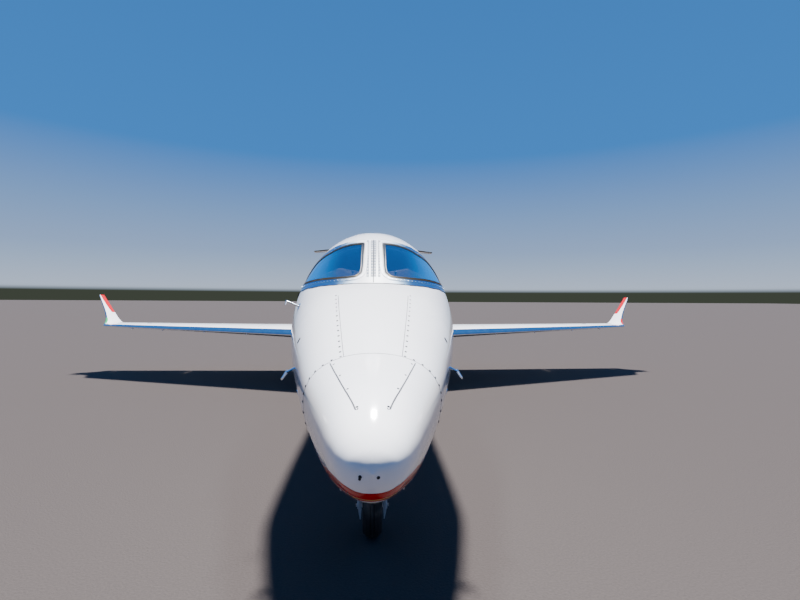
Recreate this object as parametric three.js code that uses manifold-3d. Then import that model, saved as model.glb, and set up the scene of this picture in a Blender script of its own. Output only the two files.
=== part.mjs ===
// A twin-engine business jet, parked on its wheels, in millimetres with +Z up.
// The nose points along -Y and the passenger door is on the +X side. Lengthwise places are
// stations, measured from the nose tip. A piece with a twin is drawn on the +X side and mirrored.

import * as THREE from 'three';
import { mergeVertices } from 'three/addons/utils/BufferGeometryUtils.js';
import Module from 'manifold-3d';

const wasm = await Module();
wasm.setup();

// Overall sizes
const length = 17400;
const seat = 0.3; // gap between pieces that touch
const clear = 7; // gap round a piece that moves
const far = 4000; // reach of a cutting block

// Body: crown and keel heights, half width and the height where it is widest.
// A power of 2 gives a round section, a higher one a squarer section.
const hullColumns = ['station', 'crown', 'keel', 'half', 'widest', 'upperPower', 'lowerPower'];
const hullTable = [
  [0, 1238, 1234, 2, 1236, 2, 2],
  [15, 1276, 1173, 56, 1236, 2, 2],
  [60, 1321, 1108, 112, 1237, 2, 2],
  [200, 1384, 1039, 180, 1235, 2.05, 2],
  [450, 1440, 938, 253, 1230, 2.1, 2.05],
  [800, 1486, 845, 343, 1221, 2.15, 2.1],
  [1200, 1540, 780, 446, 1226, 2.2, 2.1],
  [1700, 1702, 742, 573, 1302, 2.2, 2.15],
  [2300, 1973, 722, 719, 1420, 2.15, 2.2],
  [3050, 2505, 720, 845, 1515, 2.1, 2.2],
  [3700, 2680, 720, 860, 1576, 2.1, 2.2],
  [4600, 2715, 720, 865, 1632, 2.1, 2.2],
  [10000, 2715, 720, 865, 1632, 2.1, 2.2],
  [11400, 2712, 800, 835, 1680, 2.1, 2.2],
  [12600, 2700, 980, 745, 1780, 2.1, 2.2],
  [13800, 2672, 1280, 590, 1930, 2.1, 2.1],
  [15000, 2610, 1690, 390, 2120, 2, 2],
  [15900, 2525, 2110, 190, 2310, 2, 2],
  [16120, 2440, 2240, 90, 2340, 2, 2],
];
const hullSides = 24;
const coarseSides = 12; // inside closed shells
const wall = 60;

// Where the body's panels meet
const radomeEnd = 1200;
const noseEnd = 2300;
const cabinEnd = 10000;
const aftBulkhead = 9900;
const frontBulkhead = 2370;
const floorBase = 1110;
const floorTop = 1150;

// Windshield outlines: degrees round the section from the crown, and station
const glassDepth = 20;
const glassLedge = 24;
const paneOutline = [
  [8.5, 2470], [20, 2500], [31, 2548], [47, 2720], [57.6, 2980],
  [63, 3330], [46, 3280], [32, 3085], [19, 3036], [6.5, 2985],
];
const frameOutline = [
  [0, 2391], [17, 2410], [28, 2447], [39, 2533], [55, 2738], [64.5, 3000],
  [69, 3420], [44, 3390], [29, 3160], [18, 3112], [8, 3104], [0, 3091],
];

// Cabin windows and the door beside the cockpit
const windowStations = [4950, 5690, 6430, 7170, 7910, 8650];
const exitWindowStation = 4070;
const windowHeight = 2040;
const windowSize = { wide: 300, tall: 400, round: 130 };
const door = { from: 3700, to: 4440, sill: 1152, split: 1720, top: 2490, round: 120 };
const doorGap = 12;
const doorHinge = { radius: 17, long: 70, stations: [3830, 4310] };

// Wing sections: distance out, leading edge station, chord, thickness ratio and height
const wingTable = [
  [500, 7440, 3050, 0.105, 1080],
  [2600, 8186, 2310, 0.1, 1112],
  [4900, 9002, 1590, 0.095, 1146],
  [6640, 9620, 1030, 0.09, 1176],
];
const wingletTable = [
  // out, nose, chord, thick, height, lean in degrees
  [6640, 9620, 1030, 0.09, 1176, 0],
  [6710, 9730, 915, 0.09, 1190, 25],
  [6755, 9850, 785, 0.085, 1215, 44],
  [6785, 9950, 670, 0.08, 1255, 53],
  [6820, 10030, 570, 0.08, 1310, 56],
  [7250, 10480, 205, 0.075, 1935, 56],
];
// Control surfaces: the run of each one, its hinge's share of the chord and how far it swings
const flap = { from: 1150, to: 4600, hinge: 0.72, swing: 40, downOnly: true };
const aileron = { from: 4650, to: 6480, hinge: 0.74, swing: 18 };
const vortilons = [2800, 3850, 4950, 5800];
const vortilon = { ahead: 40, behind: 190, foot: 30, below: [50, 20], above: [10, 5], thick: 14 };

// Tail sections, as on the wing; the fin's are heights instead of distances out
const finTable = [
  [2450, 13000, 2980, 0.095, 0],
  [3150, 13950, 2380, 0.095, 0],
  [3900, 14980, 1700, 0.09, 0],
];
const dorsalTable = [
  [2560, 11600, 2600, 0.045, 0],
  [2790, 12750, 1700, 0.055, 0],
  [3080, 13700, 900, 0.06, 0],
];
const rudder = { from: 2780, to: 3680, hinge: 0.7, swing: 25, endGap: 32, pinReach: 62 };
const stabTable = [
  [0, 15450, 1300, 0.095, 3930],
  [2450, 16650, 750, 0.09, 3802],
];
const elevator = { from: 230, to: 2370, hinge: 0.68, swing: 20 };
const bullet = { from: 15050, to: 17180, radius: 120, height: 3925 };
const ventralRoot = { out: 270, nose: 13750, chord: 1500, height: 1560 };
const ventralTip = { out: 800, nose: 14450, chord: 900, height: 1130 };
const ventralThick = 0.04;
const ventralSide = [0.63, 0.78]; // across and up, square to the blade

// Engines
const engine = { out: 1400, height: 2150 };
const nacelleProfile = [
  // radius, station
  [400, 10600], [434, 10650], [470, 11200], [470, 11900], [440, 12700], [370, 13450],
  [358, 13450], [372, 13200], [372, 11000], [378, 10640],
];
const coreProfile = [
  [0, 11430], [70, 11430], [70, 11500], [371.6, 11500], [371.6, 12650], [262, 13600],
  [245, 13600], [245, 13400], [130, 13400], [0, 13780],
];
const spinnerProfile = [
  [0, 11080], [35, 11095], [80, 11150], [118, 11230], [130, 11290], [130, 11400],
  [60, 11400], [60, 11429.6], [0, 11429.6],
];
const fan = { blades: 20, root: 100, tip: 358, from: 11270, to: 11385, pitch: 0.93 };
const ductSides = 24;

// Undercarriage
const wheelSides = 24;
const flat = Math.cos(Math.PI / wheelSides); // a tyre rests on one flat of its outline
const noseWheel = { station: 1900, radius: 230, width: 150, rim: 128 };
const steerStation = 1862;
const mainWheel = { station: 9850, out: 1420, radius: 280, width: 172, rim: 165, apart: 300 };
const well = { from: 1400, to: 2230, half: 165, top: 1090 };
const noseStrut = { leg: 52, end: 520, brace: 26, braceFoot: 860, braceTop: 1000, cross: 30 };
const noseBridge = { half: 122, deep: 45, low: 468, high: 494, turn: 46 };
const noseArm = [
  // out, station, height, half depth, half thickness
  [104, 1862, 480, 40, 18], [101, 1900, 228, 30, 16], [96, 1910, 112, 9, 5],
];
const noseBoss = { from: 90, to: 120, radius: 30, axle: 20 };
const mainStrut = { leg: 62, knee: 66, arm: [50, 44], shock: 30, hub: 62, half: 45, brace: 32 };

const finish = (color, roughness, metalness = 0) =>
  new THREE.MeshStandardMaterial({ color, roughness, metalness });
const paint = finish(0xf2f3f6, 0.2);
const polished = finish(0xc9d4e2, 0.15, 1);
const glass = finish(0x2b4a5e, 0.1);
const rubber = finish(0x1b1b1d, 0.8);
const legGrey = finish(0xaab3bd, 0.35, 0.3);
const wheelGrey = finish(0xc8ccd0, 0.4, 0.6);
const darkMetal = finish(0x5c5a58, 0.45, 0.8);
const trimGrey = finish(0x55505e, 0.7);
const hide = finish(0xcbb89b, 0.6);
const carpet = finish(0x8a8378, 0.9);

const aircraft = new THREE.Group();
const alongY = (station) => station - length / 2;

// A solid from a three.js geometry
function solid(geometry, matrix) {
  const bare = geometry.clone();
  if (matrix) bare.applyMatrix4(matrix);
  bare.deleteAttribute('normal');
  bare.deleteAttribute('uv');
  const merged = mergeVertices(bare, 1e-3);
  return new wasm.Manifold(new wasm.Mesh({
    numProp: 3,
    vertProperties: new Float32Array(merged.attributes.position.array),
    triVerts: new Uint32Array(merged.index.array),
  }));
}

// A solid from points and triangles, turned so that its faces point out
function closedSolid(points, triangles) {
  let volume = 0;
  for (const [a, b, c] of triangles) {
    volume += points[a].dot(new THREE.Vector3().crossVectors(points[b], points[c]));
  }
  const outward = volume > 0 ? triangles : triangles.map(([a, b, c]) => [a, c, b]);
  return new wasm.Manifold(new wasm.Mesh({
    numProp: 3,
    vertProperties: new Float32Array(points.flatMap((p) => [p.x, p.y, p.z])),
    triVerts: new Uint32Array(outward.flat()),
  }));
}

function middle(ring) {
  const sum = ring.reduce((total, p) => total.add(p), new THREE.Vector3());
  return sum.divideScalar(ring.length);
}

// Rings of points joined in order, each end closed by a fan. The two halves of a ring are split
// the opposite way, so that a symmetric ring gives a symmetric solid.
function loft(rings, first = middle(rings[0]), last = middle(rings.at(-1))) {
  const count = rings[0].length;
  const points = [...rings.flat(), first, last];
  const triangles = [];
  for (let j = 0; j < count; j += 1) {
    const next = (j + 1) % count;
    for (let i = 0; i + 1 < rings.length; i += 1) {
      const [a, b] = [i * count + j, i * count + next];
      if (j < count / 2) triangles.push([a, b, b + count], [a, b + count, a + count]);
      else triangles.push([a, b, a + count], [b, b + count, a + count]);
    }
    const end = (rings.length - 1) * count;
    triangles.push([points.length - 2, next, j]);
    triangles.push([points.length - 1, end + j, end + next]);
  }
  return closedSolid(points, triangles);
}

function mirror(shape) {
  const mesh = shape.getMesh();
  const points = Array.from(mesh.vertProperties);
  for (let i = 0; i < points.length; i += mesh.numProp) points[i] *= -1;
  const triangles = Array.from(mesh.triVerts);
  for (let i = 0; i < triangles.length; i += 3) {
    [triangles[i + 1], triangles[i + 2]] = [triangles[i + 2], triangles[i + 1]];
  }
  return new wasm.Manifold(new wasm.Mesh({
    numProp: 3,
    vertProperties: new Float32Array(points),
    triVerts: new Uint32Array(triangles),
  }));
}

function place(name, shape, material) {
  const mesh = shape.getMesh();
  const geometry = new THREE.BufferGeometry();
  geometry.setAttribute('position', new THREE.BufferAttribute(mesh.vertProperties.slice(), 3));
  geometry.setIndex(new THREE.BufferAttribute(mesh.triVerts.slice(), 1));
  geometry.computeVertexNormals();
  const piece = new THREE.Mesh(geometry, material);
  piece.name = name;
  aircraft.add(piece);
}

function placePair(name, shape, material) {
  place(`${name}_left`, shape, material);
  place(`${name}_right`, mirror(shape), material);
}

// A block from its lowest and highest corners: across, station, height
function block([x1, s1, z1], [x2, s2, z2]) {
  const box = new THREE.BoxGeometry(x2 - x1, s2 - s1, z2 - z1);
  const centre = [(x1 + x2) / 2, alongY((s1 + s2) / 2), (z1 + z2) / 2];
  return solid(box, new THREE.Matrix4().makeTranslation(...centre));
}

// A round bar or cone between two points given as across, station, height
function bar([x1, s1, z1], [x2, s2, z2], radius, endRadius = radius, sides = 10) {
  const from = new THREE.Vector3(x1, alongY(s1), z1);
  const to = new THREE.Vector3(x2, alongY(s2), z2);
  const span = new THREE.Vector3().subVectors(to, from);
  const turn = new THREE.Quaternion().setFromUnitVectors(
    new THREE.Vector3(0, 1, 0), span.clone().normalize());
  const centre = new THREE.Vector3().addVectors(from, to).multiplyScalar(0.5);
  const round = new THREE.CylinderGeometry(endRadius, radius, span.length(), sides);
  return solid(round, new THREE.Matrix4().compose(centre, turn, new THREE.Vector3(1, 1, 1)));
}

// A turned shape about a lengthwise axis, from rows of radius and station
function turned(profile, out, height, sides = ductSides) {
  const points = profile.map(([radius, station]) => new THREE.Vector2(radius, alongY(station)));
  if (profile[0][0] > 0) points.push(points[0].clone());
  return closedFrom(new THREE.LatheGeometry(points, sides),
    new THREE.Matrix4().makeTranslation(out, 0, height));
}

// A turned shape whose direction round its outline isn't known
function closedFrom(geometry, matrix) {
  const bare = geometry.clone().applyMatrix4(matrix);
  bare.deleteAttribute('normal');
  bare.deleteAttribute('uv');
  const merged = mergeVertices(bare, 1e-3);
  const position = merged.attributes.position;
  const points = [];
  for (let i = 0; i < position.count; i += 1) {
    points.push(new THREE.Vector3().fromBufferAttribute(position, i));
  }
  const triangles = [];
  for (let i = 0; i < merged.index.count; i += 3) {
    const corner = [0, 1, 2].map((k) => merged.index.getX(i + k));
    if (new Set(corner).size === 3) triangles.push(corner);
  }
  return closedSolid(points, triangles);
}

// Body sections between the table's rows, on curves that never overshoot them
function steadySlopes(xs, ys) {
  const rise = ys.slice(1).map((value, i) => (value - ys[i]) / (xs[i + 1] - xs[i]));
  return ys.map((_, i) => {
    if (i === 0) return rise[0];
    if (i === ys.length - 1) return rise.at(-1);
    if (rise[i - 1] * rise[i] <= 0) return 0;
    const before = xs[i] - xs[i - 1];
    const after = xs[i + 1] - xs[i];
    const [w1, w2] = [2 * after + before, after + 2 * before];
    return (w1 + w2) / (w1 / rise[i - 1] + w2 / rise[i]);
  });
}

const hullStations = hullTable.map((row) => row[0]);
const hullCurves = hullColumns.slice(1).map((name, i) => {
  const values = hullTable.map((row) => row[i + 1]);
  return { name, values, slopes: steadySlopes(hullStations, values) };
});

function hullAt(station) {
  let i = hullStations.findIndex((value) => value > station) - 1;
  if (i < 0) i = station <= 0 ? 0 : hullStations.length - 2;
  const step = hullStations[i + 1] - hullStations[i];
  const t = (station - hullStations[i]) / step;
  const section = {};
  for (const { name, values, slopes } of hullCurves) {
    section[name] = values[i] * (1 + 2 * t) * (1 - t) ** 2
      + slopes[i] * step * t * (1 - t) ** 2
      + values[i + 1] * t * t * (3 - 2 * t)
      + slopes[i + 1] * step * t * t * (t - 1);
  }
  return section;
}

// A point on the skin: station, degrees round from the crown towards +X, depth under the skin
function hullPoint(station, degrees, depth = 0) {
  const section = hullAt(station);
  const angle = THREE.MathUtils.degToRad(degrees);
  const [across, up] = [Math.sin(angle), Math.cos(angle)];
  const upper = up >= 0;
  const power = upper ? section.upperPower : section.lowerPower;
  const reach = (Math.abs(across) ** power + Math.abs(up) ** power) ** (-1 / power);
  const tall = upper ? section.crown - section.widest : section.widest - section.keel;
  return new THREE.Vector3(
    Math.max(section.half - depth, 1) * across * reach,
    alongY(station),
    section.widest + Math.max(tall - depth, 1) * up * reach);
}

// Stations of the rings between two ends: the given ones, closer where the shape curves
const ringStations = [
  0, 15, 60, 200, 450, 800, 1200, 1700, 2300, 2500, 2700, 2900, 3050, 3200, 3400, 3700, 4100,
  4600, 10000, 10800, 11500, 12200, 13000, 13800, 14600, 15300, 15900, 16120,
];

function hull(from, to, depth = 0, sides = hullSides) {
  const between = ringStations.filter((station) => station > from + 1 && station < to - 1);
  return loft([from, ...between, to].map((station) =>
    Array.from({ length: sides }, (_, i) => hullPoint(station, (i * 360) / sides, depth))));
}

// A cutter that stands on the skin along an outline, from one depth to another.
// Its ends are domed like the skin.
function skinPrism(outline, outer, inner) {
  const centre = [0, 1].map((k) => outline.reduce((sum, p) => sum + p[k], 0) / outline.length);
  const ring = (scale, depth) => outline.map(([degrees, station]) => hullPoint(
    centre[1] + (station - centre[1]) * scale, centre[0] + (degrees - centre[0]) * scale, depth));
  const shrink = [0.4, 0.75];
  const rings = [
    ...shrink.map((scale) => ring(scale, inner)), ring(1, inner),
    ring(1, outer), ...shrink.toReversed().map((scale) => ring(scale, outer)),
  ];
  const tops = [inner, outer].map((depth) => hullPoint(centre[1], centre[0], depth));
  return loft(rings, ...tops);
}

// An outline moved inwards by a distance, counted along the skin, with its corners cut round
const skinScale = 14; // millimetres for each degree
function offsetOutline(outline, inwards, rounding) {
  const flatPoints = outline.map(([degrees, station]) =>
    new THREE.Vector2(degrees * skinScale, station));
  const area = THREE.ShapeUtils.area(flatPoints);
  const count = flatPoints.length;
  const moved = flatPoints.map((point, i) => {
    const before = flatPoints[(i + count - 1) % count];
    const after = flatPoints[(i + 1) % count];
    const sides = [new THREE.Vector2().subVectors(point, before).normalize(),
      new THREE.Vector2().subVectors(after, point).normalize()];
    const normals = sides.map((side) => new THREE.Vector2(-side.y, side.x));
    const mean = normals[0].clone().add(normals[1]).normalize();
    const stretch = Math.sign(area) * inwards / Math.max(mean.dot(normals[0]), 0.4);
    return point.clone().addScaledVector(mean, stretch);
  });
  const round = moved.flatMap((point, i) => {
    const before = moved[(i + count - 1) % count];
    const after = moved[(i + 1) % count];
    const sharp = new THREE.Vector2().subVectors(before, point).angleTo(
      new THREE.Vector2().subVectors(after, point)) < 2.3;
    if (!sharp) return [point];
    const start = point.clone().lerp(before, Math.min(rounding / point.distanceTo(before), 0.45));
    const end = point.clone().lerp(after, Math.min(rounding / point.distanceTo(after), 0.45));
    const curve = new THREE.QuadraticBezierCurve(start, point, end);
    return curve.getPoints(2);
  });
  return round.map((point) => [point.x / skinScale, point.y]);
}

// A rounded rectangle in side view, run across the aircraft from x1 to x2
function sidePrism({ from, to, low, high, round }, x1, x2) {
  const [y1, y2] = [alongY(from), alongY(to)];
  const outline = new THREE.Shape();
  outline.moveTo(y1 + round, low);
  outline.lineTo(y2 - round, low);
  outline.absarc(y2 - round, low + round, round, -Math.PI / 2, 0);
  outline.absarc(y2 - round, high - round, round, 0, Math.PI / 2);
  outline.absarc(y1 + round, high - round, round, Math.PI / 2, Math.PI);
  outline.absarc(y1 + round, low + round, round, Math.PI, 1.5 * Math.PI);
  const slab = new THREE.ExtrudeGeometry(outline, {
    depth: x2 - x1, bevelEnabled: false, curveSegments: 2 });
  const toSide = new THREE.Matrix4().makeBasis(
    new THREE.Vector3(0, 1, 0), new THREE.Vector3(0, 0, 1), new THREE.Vector3(1, 0, 0));
  return solid(slab, new THREE.Matrix4().makeTranslation(x1, 0, 0).multiply(toSide));
}

function windowBox(station, shrink) {
  const { wide, tall, round } = windowSize;
  return {
    from: station - wide / 2 + shrink,
    to: station + wide / 2 - shrink,
    low: windowHeight - tall / 2 + shrink,
    high: windowHeight + tall / 2 - shrink,
    round: round - shrink,
  };
}

// Wing-like sections. A section lies across its blade, and leans by some degrees from level.
const foilSteps = 7;
function foilThickness(u) {
  return 5 * (0.2969 * Math.sqrt(u) - 0.126 * u - 0.3516 * u ** 2 + 0.2843 * u ** 3
    - 0.1015 * u ** 4);
}

function foilRing({ nose, chord, thick, camber = 0 }, grow, put) {
  const uppers = Array.from({ length: foilSteps + 1 }, (_, i) =>
    (1 + Math.cos((Math.PI * i) / foilSteps)) / 2);
  const lowers = uppers.slice(0, -1).reverse();
  const point = (u, side) => put(
    nose + u * chord + grow * (2 * u - 1),
    chord * (side * thick * foilThickness(u) + 4 * camber * u * (1 - u)) + side * grow);
  return [...uppers.map((u) => point(u, 1)), ...lowers.map((u) => point(u, -1))];
}

// The row of a table at some distance out, with a straight run between rows
function rowAt(table, out) {
  let i = table.findIndex((row) => row[0] > out) - 1;
  if (i < 0) i = table.length - 2;
  const t = (out - table[i][0]) / (table[i + 1][0] - table[i][0]);
  const [, nose, chord, thick, height] = table[i].map((value, k) =>
    value + t * (table[i + 1][k] - value));
  return { out, nose, chord, thick, height };
}

const wingCamber = 0.012;
function wingShape(grow = 0) {
  return loft(wingTable.map(([out, nose, chord, thick, height]) => foilRing(
    { nose, chord, thick, camber: wingCamber }, grow,
    (station, up) => new THREE.Vector3(out, alongY(station), height + up))));
}

// The hinge line of a control surface: where it starts and ends, and its nose radius there
const noseShare = 0.95; // of the blade's half thickness
function hingeLine(table, { from, to, hinge }, camber, upright = false) {
  return [from, to].map((out) => {
    const { nose, chord, thick, height } = rowAt(table, out);
    const level = upright ? 0 : height + 4 * camber * hinge * (1 - hinge) * chord;
    return {
      point: upright ? [0, nose + hinge * chord, out] : [out, nose + hinge * chord, level],
      radius: chord * thick * foilThickness(hinge) * noseShare,
    };
  });
}

// A block along a hinge line, its two ends moved outwards by a margin, from its reach to the
// front, to the back, to one side and to the other
function besideHinge(line, margin, [front, back, low, high], upright = false) {
  const [a, b] = line.map(({ point }) => new THREE.Vector3(point[0], alongY(point[1]), point[2]));
  const span = new THREE.Vector3().subVectors(b, a);
  const stretch = margin / (upright ? span.z : span.x);
  const ends = [[a, -stretch], [b, stretch]].map(([end, by]) =>
    end.clone().addScaledVector(span, by));
  const side = upright ? new THREE.Vector3(1, 0, 0) : new THREE.Vector3(0, 0, 1);
  return loft(ends.map((end) => [[front, low], [back, low], [back, high], [front, high]].map(
    ([along, up]) => end.clone().addScaledVector(side, up).add(new THREE.Vector3(0, along, 0)))));
}
const behindHinge = (line, margin, upright) =>
  besideHinge(line, margin, [0, far, -400, 400], upright);

function hingeBar(line, margin, extra) {
  const [a, b] = line;
  const run = Math.hypot(...a.point.map((value, k) => b.point[k] - value));
  const t = extra / run;
  const push = (p, q) => p.map((value, k) => value - t * (q[k] - value));
  return bar(push(a.point, b.point), push(b.point, a.point), a.radius + margin, b.radius + margin);
}

// Takes a control surface out of a blade: the blade with its cove, and the surface with the
// hinge pin that runs on into the blade at both ends
const hingePin = { radius: 9, bore: 9.6 };
function splitSurface(blade, line, surfaceSpec, upright = false) {
  const { swing, downOnly = false, endGap = 12, pinReach = 22 } = surfaceSpec;
  const pinLine = (radius) => line.map(({ point }) => ({ point, radius }));
  const swept = line.map(({ point, radius }) => (
    { point, radius: radius / noseShare / Math.cos(THREE.MathUtils.degToRad(swing)) }));
  let sweep = hingeBar(swept, clear, endGap);
  if (downOnly) sweep = sweep.intersect(besideHinge(line, 2 * endGap, [-400, 400, -400, 0]));
  const cove = behindHinge(line, endGap, upright).add(hingeBar(line, clear, endGap)).add(sweep);
  const surface = blade.intersect(behindHinge(line, 0, upright)).add(hingeBar(line, 0, -6));
  return [
    blade.subtract(cove).subtract(hingeBar(pinLine(hingePin.bore), 0, pinReach + 1)),
    surface.add(hingeBar(pinLine(hingePin.radius), 0, pinReach)),
  ];
}

// Body

const hullCutter = hull(0, hullStations.at(-1), -seat);

const radome = hull(0, radomeEnd).subtract(hull(60, radomeEnd + 50, 14, coarseSides));
place('radome', radome, paint);

const gearWell = block([-well.half, well.from, 0], [well.half, well.to, well.top]);
const noseSection = hull(radomeEnd + seat, noseEnd - seat).subtract(gearWell);
place('nose_section', noseSection, paint);

const cavity = hull(frontBulkhead, aftBulkhead, wall)
  .subtract(block([-far, 0, 0], [far, length, floorBase]));

const paneShape = offsetOutline(paneOutline, 0, 90);
const paneLedge = offsetOutline(paneOutline, glassLedge, 90);
const frameHalf = frameOutline.slice(1, -1);
const frameWhole = offsetOutline([
  ...frameOutline, ...frameHalf.toReversed().map(([degrees, station]) => [-degrees, station]),
], 0, 120);
const frameRim = offsetOutline([
  ...frameOutline, ...frameHalf.toReversed().map(([degrees, station]) => [-degrees, station]),
], seat, 120);
const paneHole = skinPrism(paneShape, -300, 200);
const paneSight = skinPrism(paneLedge, -300, 260);
const frameRecess = skinPrism(frameWhole, -300, 200).subtract(hull(noseEnd - 50, 3750, glassDepth));

const doorBox = (shrink) => ({
  from: door.from + shrink,
  to: door.to - shrink,
  low: door.sill + shrink,
  high: door.top - shrink,
  round: door.round - shrink,
});
const sideReach = [300, 1200];

// The door's hinge knuckles lie along the skin in the gap above or below it
function skinAcross(station, height) {
  let [low, high] = height > hullAt(station).widest ? [0, 90] : [90, 180];
  for (let i = 0; i < 30; i += 1) {
    const degrees = (low + high) / 2;
    if (hullPoint(station, degrees).z > height) low = degrees;
    else high = degrees;
  }
  return hullPoint(station, low).x;
}

function knuckles(height, grow) {
  const { radius, long, stations } = doorHinge;
  const ends = stations.map((station) => skinAcross(station, height));
  const slope = (ends[1] - ends[0]) / (stations[1] - stations[0]);
  const half = long / 2 + (grow ? doorGap : 0);
  return stations.map((station, i) => bar(
    [ends[i] - slope * half, station - half, height],
    [ends[i] + slope * half, station + half, height], radius + grow, radius + grow, 16))
    .reduce((both, knuckle) => both.add(knuckle));
}
const upperHinge = door.top - doorGap / 2;
const lowerHinge = door.sill + doorGap / 2;
const knuckleGap = 0.65;
const windowHoles = windowStations.map((station) =>
  sidePrism(windowBox(station, 0), ...sideReach));
const exitHole = sidePrism(windowBox(exitWindowStation, 0), ...sideReach);

let cabinShell = hull(noseEnd, cabinEnd - seat)
  .subtract(cavity)
  .subtract(frameRecess)
  .subtract(paneSight)
  .subtract(mirror(paneSight))
  .subtract(sidePrism(doorBox(0), ...sideReach))
  .subtract(knuckles(upperHinge, knuckleGap))
  .subtract(knuckles(lowerHinge, knuckleGap))
  .subtract(mirror(exitHole));
for (const hole of windowHoles) cabinShell = cabinShell.subtract(hole).subtract(mirror(hole));
place('cabin_shell', cabinShell, paint);

const tailCavity = hull(cabinEnd - 50, 15500, 40, coarseSides);
const tailCone = hull(cabinEnd, hullStations.at(-1)).subtract(tailCavity);
place('tail_cone', tailCone, paint);

const windshieldLayer = hull(noseEnd, 3700, -3).subtract(hull(noseEnd, 3700, glassDepth - seat));
const windshieldFrame = windshieldLayer.intersect(skinPrism(frameRim, -300, 200))
  .subtract(paneHole)
  .subtract(mirror(paneHole));
place('windshield_frame', windshieldFrame, polished);

const paneLayer = hull(noseEnd, 3700).subtract(hull(noseEnd, 3700, glassDepth - seat));
const pane = paneLayer.intersect(skinPrism(offsetOutline(paneOutline, seat, 90), -300, 200));
placePair('windshield', pane, glass);

// Cabin windows: one inner strip a side, with a raised pane in each opening
const stripLayer = hull(noseEnd, cabinEnd, wall + seat)
  .subtract(hull(noseEnd, cabinEnd, wall + seat + 8));
const paneBlock = hull(noseEnd, cabinEnd, 4).subtract(hull(noseEnd, cabinEnd, wall + 4));
function glassStrip(from, stations) {
  const ends = { from, to: windowStations.at(-1) + 250, low: 1810, high: 2270, round: 60 };
  return stations.reduce(
    (strip, station) => strip.add(
      paneBlock.intersect(sidePrism(windowBox(station, 1), ...sideReach))),
    stripLayer.intersect(sidePrism(ends, ...sideReach)));
}
place('cabin_glass_left', glassStrip(windowStations[0] - 250, windowStations), glass);
place('cabin_glass_right',
  mirror(glassStrip(exitWindowStation - 250, [exitWindowStation, ...windowStations])), glass);

// Passenger door in two halves, the lower one with its steps
const doorWhole = hull(noseEnd, cabinEnd).subtract(hull(noseEnd, cabinEnd, wall))
  .intersect(sidePrism(doorBox(doorGap), ...sideReach));
const belowSplit = (height) => block([-far, 0, 0], [far, length, height]);
const splitGap = doorGap / 2;
const doorHole = sidePrism(windowBox((door.from + door.to) / 2, 0), ...sideReach);
const doorUpper = doorWhole.subtract(belowSplit(door.split + splitGap)).subtract(doorHole)
  .add(knuckles(upperHinge, 0));
place('door_upper', doorUpper, paint);
const doorPane = hull(noseEnd, cabinEnd, 8).subtract(hull(noseEnd, cabinEnd, wall - 8))
  .intersect(sidePrism(windowBox((door.from + door.to) / 2, seat), ...sideReach));
place('door_window', doorPane, glass);

// The treads lie level once the lower door has turned down by its full angle
const treads = { heights: [1225, 1375, 1525], deep: 175, half: 12, turn: 126, margin: 90 };
const treadAngle = THREE.MathUtils.degToRad(treads.turn);
const treadRun = [Math.cos(treadAngle), Math.sin(treadAngle)];
let doorLower = doorWhole.intersect(belowSplit(door.split - splitGap))
  .add(knuckles(lowerHinge, 0));
for (const height of treads.heights) {
  const root = skinAcross((door.from + door.to) / 2, height) - wall + 15;
  const corner = (along, side) => [
    root + treadRun[0] * along + treadRun[1] * side,
    height + treadRun[1] * along - treadRun[0] * side];
  const outline = [[0, -treads.half], [treads.deep, -treads.half], [treads.deep, treads.half],
    [0, treads.half]].map(([along, side]) => corner(along, side));
  doorLower = doorLower.add(loft([door.from + treads.margin, door.to - treads.margin].map(
    (station) => outline.map(([out, up]) => new THREE.Vector3(out, alongY(station), up)))));
}
place('door_lower', doorLower, paint);

// Cockpit and cabin furniture
const room = hull(frontBulkhead + seat, aftBulkhead - seat, wall + 10);
const floor = block([-far, frontBulkhead + 30, floorBase + seat], [far, aftBulkhead - 30, floorTop])
  .intersect(room);
place('cabin_floor', floor, carpet);

const panelOutline = new THREE.Shape([
  [2450, 1300], [2450, 1930], [2560, 2010], [2700, 2060], [2860, 2075], [2880, 2050],
  [2760, 2010], [2790, 1520], [2760, 1300],
].map(([station, height]) => new THREE.Vector2(alongY(station), height)));
const panelRun = new THREE.ExtrudeGeometry(panelOutline, { depth: 1500, bevelEnabled: false });
const acrossTurn = new THREE.Matrix4().makeBasis(
  new THREE.Vector3(0, 1, 0), new THREE.Vector3(0, 0, 1), new THREE.Vector3(1, 0, 0));
const pedestal = block([-130, 2700, floorTop + seat], [130, 3250, 1560]);
let instrumentPanel = solid(
  panelRun, new THREE.Matrix4().makeTranslation(-750, 0, 0).multiply(acrossTurn))
  .intersect(hull(frontBulkhead + seat, aftBulkhead, wall + 8)).add(pedestal);
for (const side of [-1, 1]) {
  const out = side * 380;
  instrumentPanel = instrumentPanel
    .add(bar([out, 2740, 1700], [out, 2930, 1740], 18))
    .add(bar([out - 150, 2930, 1750], [out + 150, 2930, 1750], 18));
}
place('instrument_panel', instrumentPanel, trimGrey);

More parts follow.
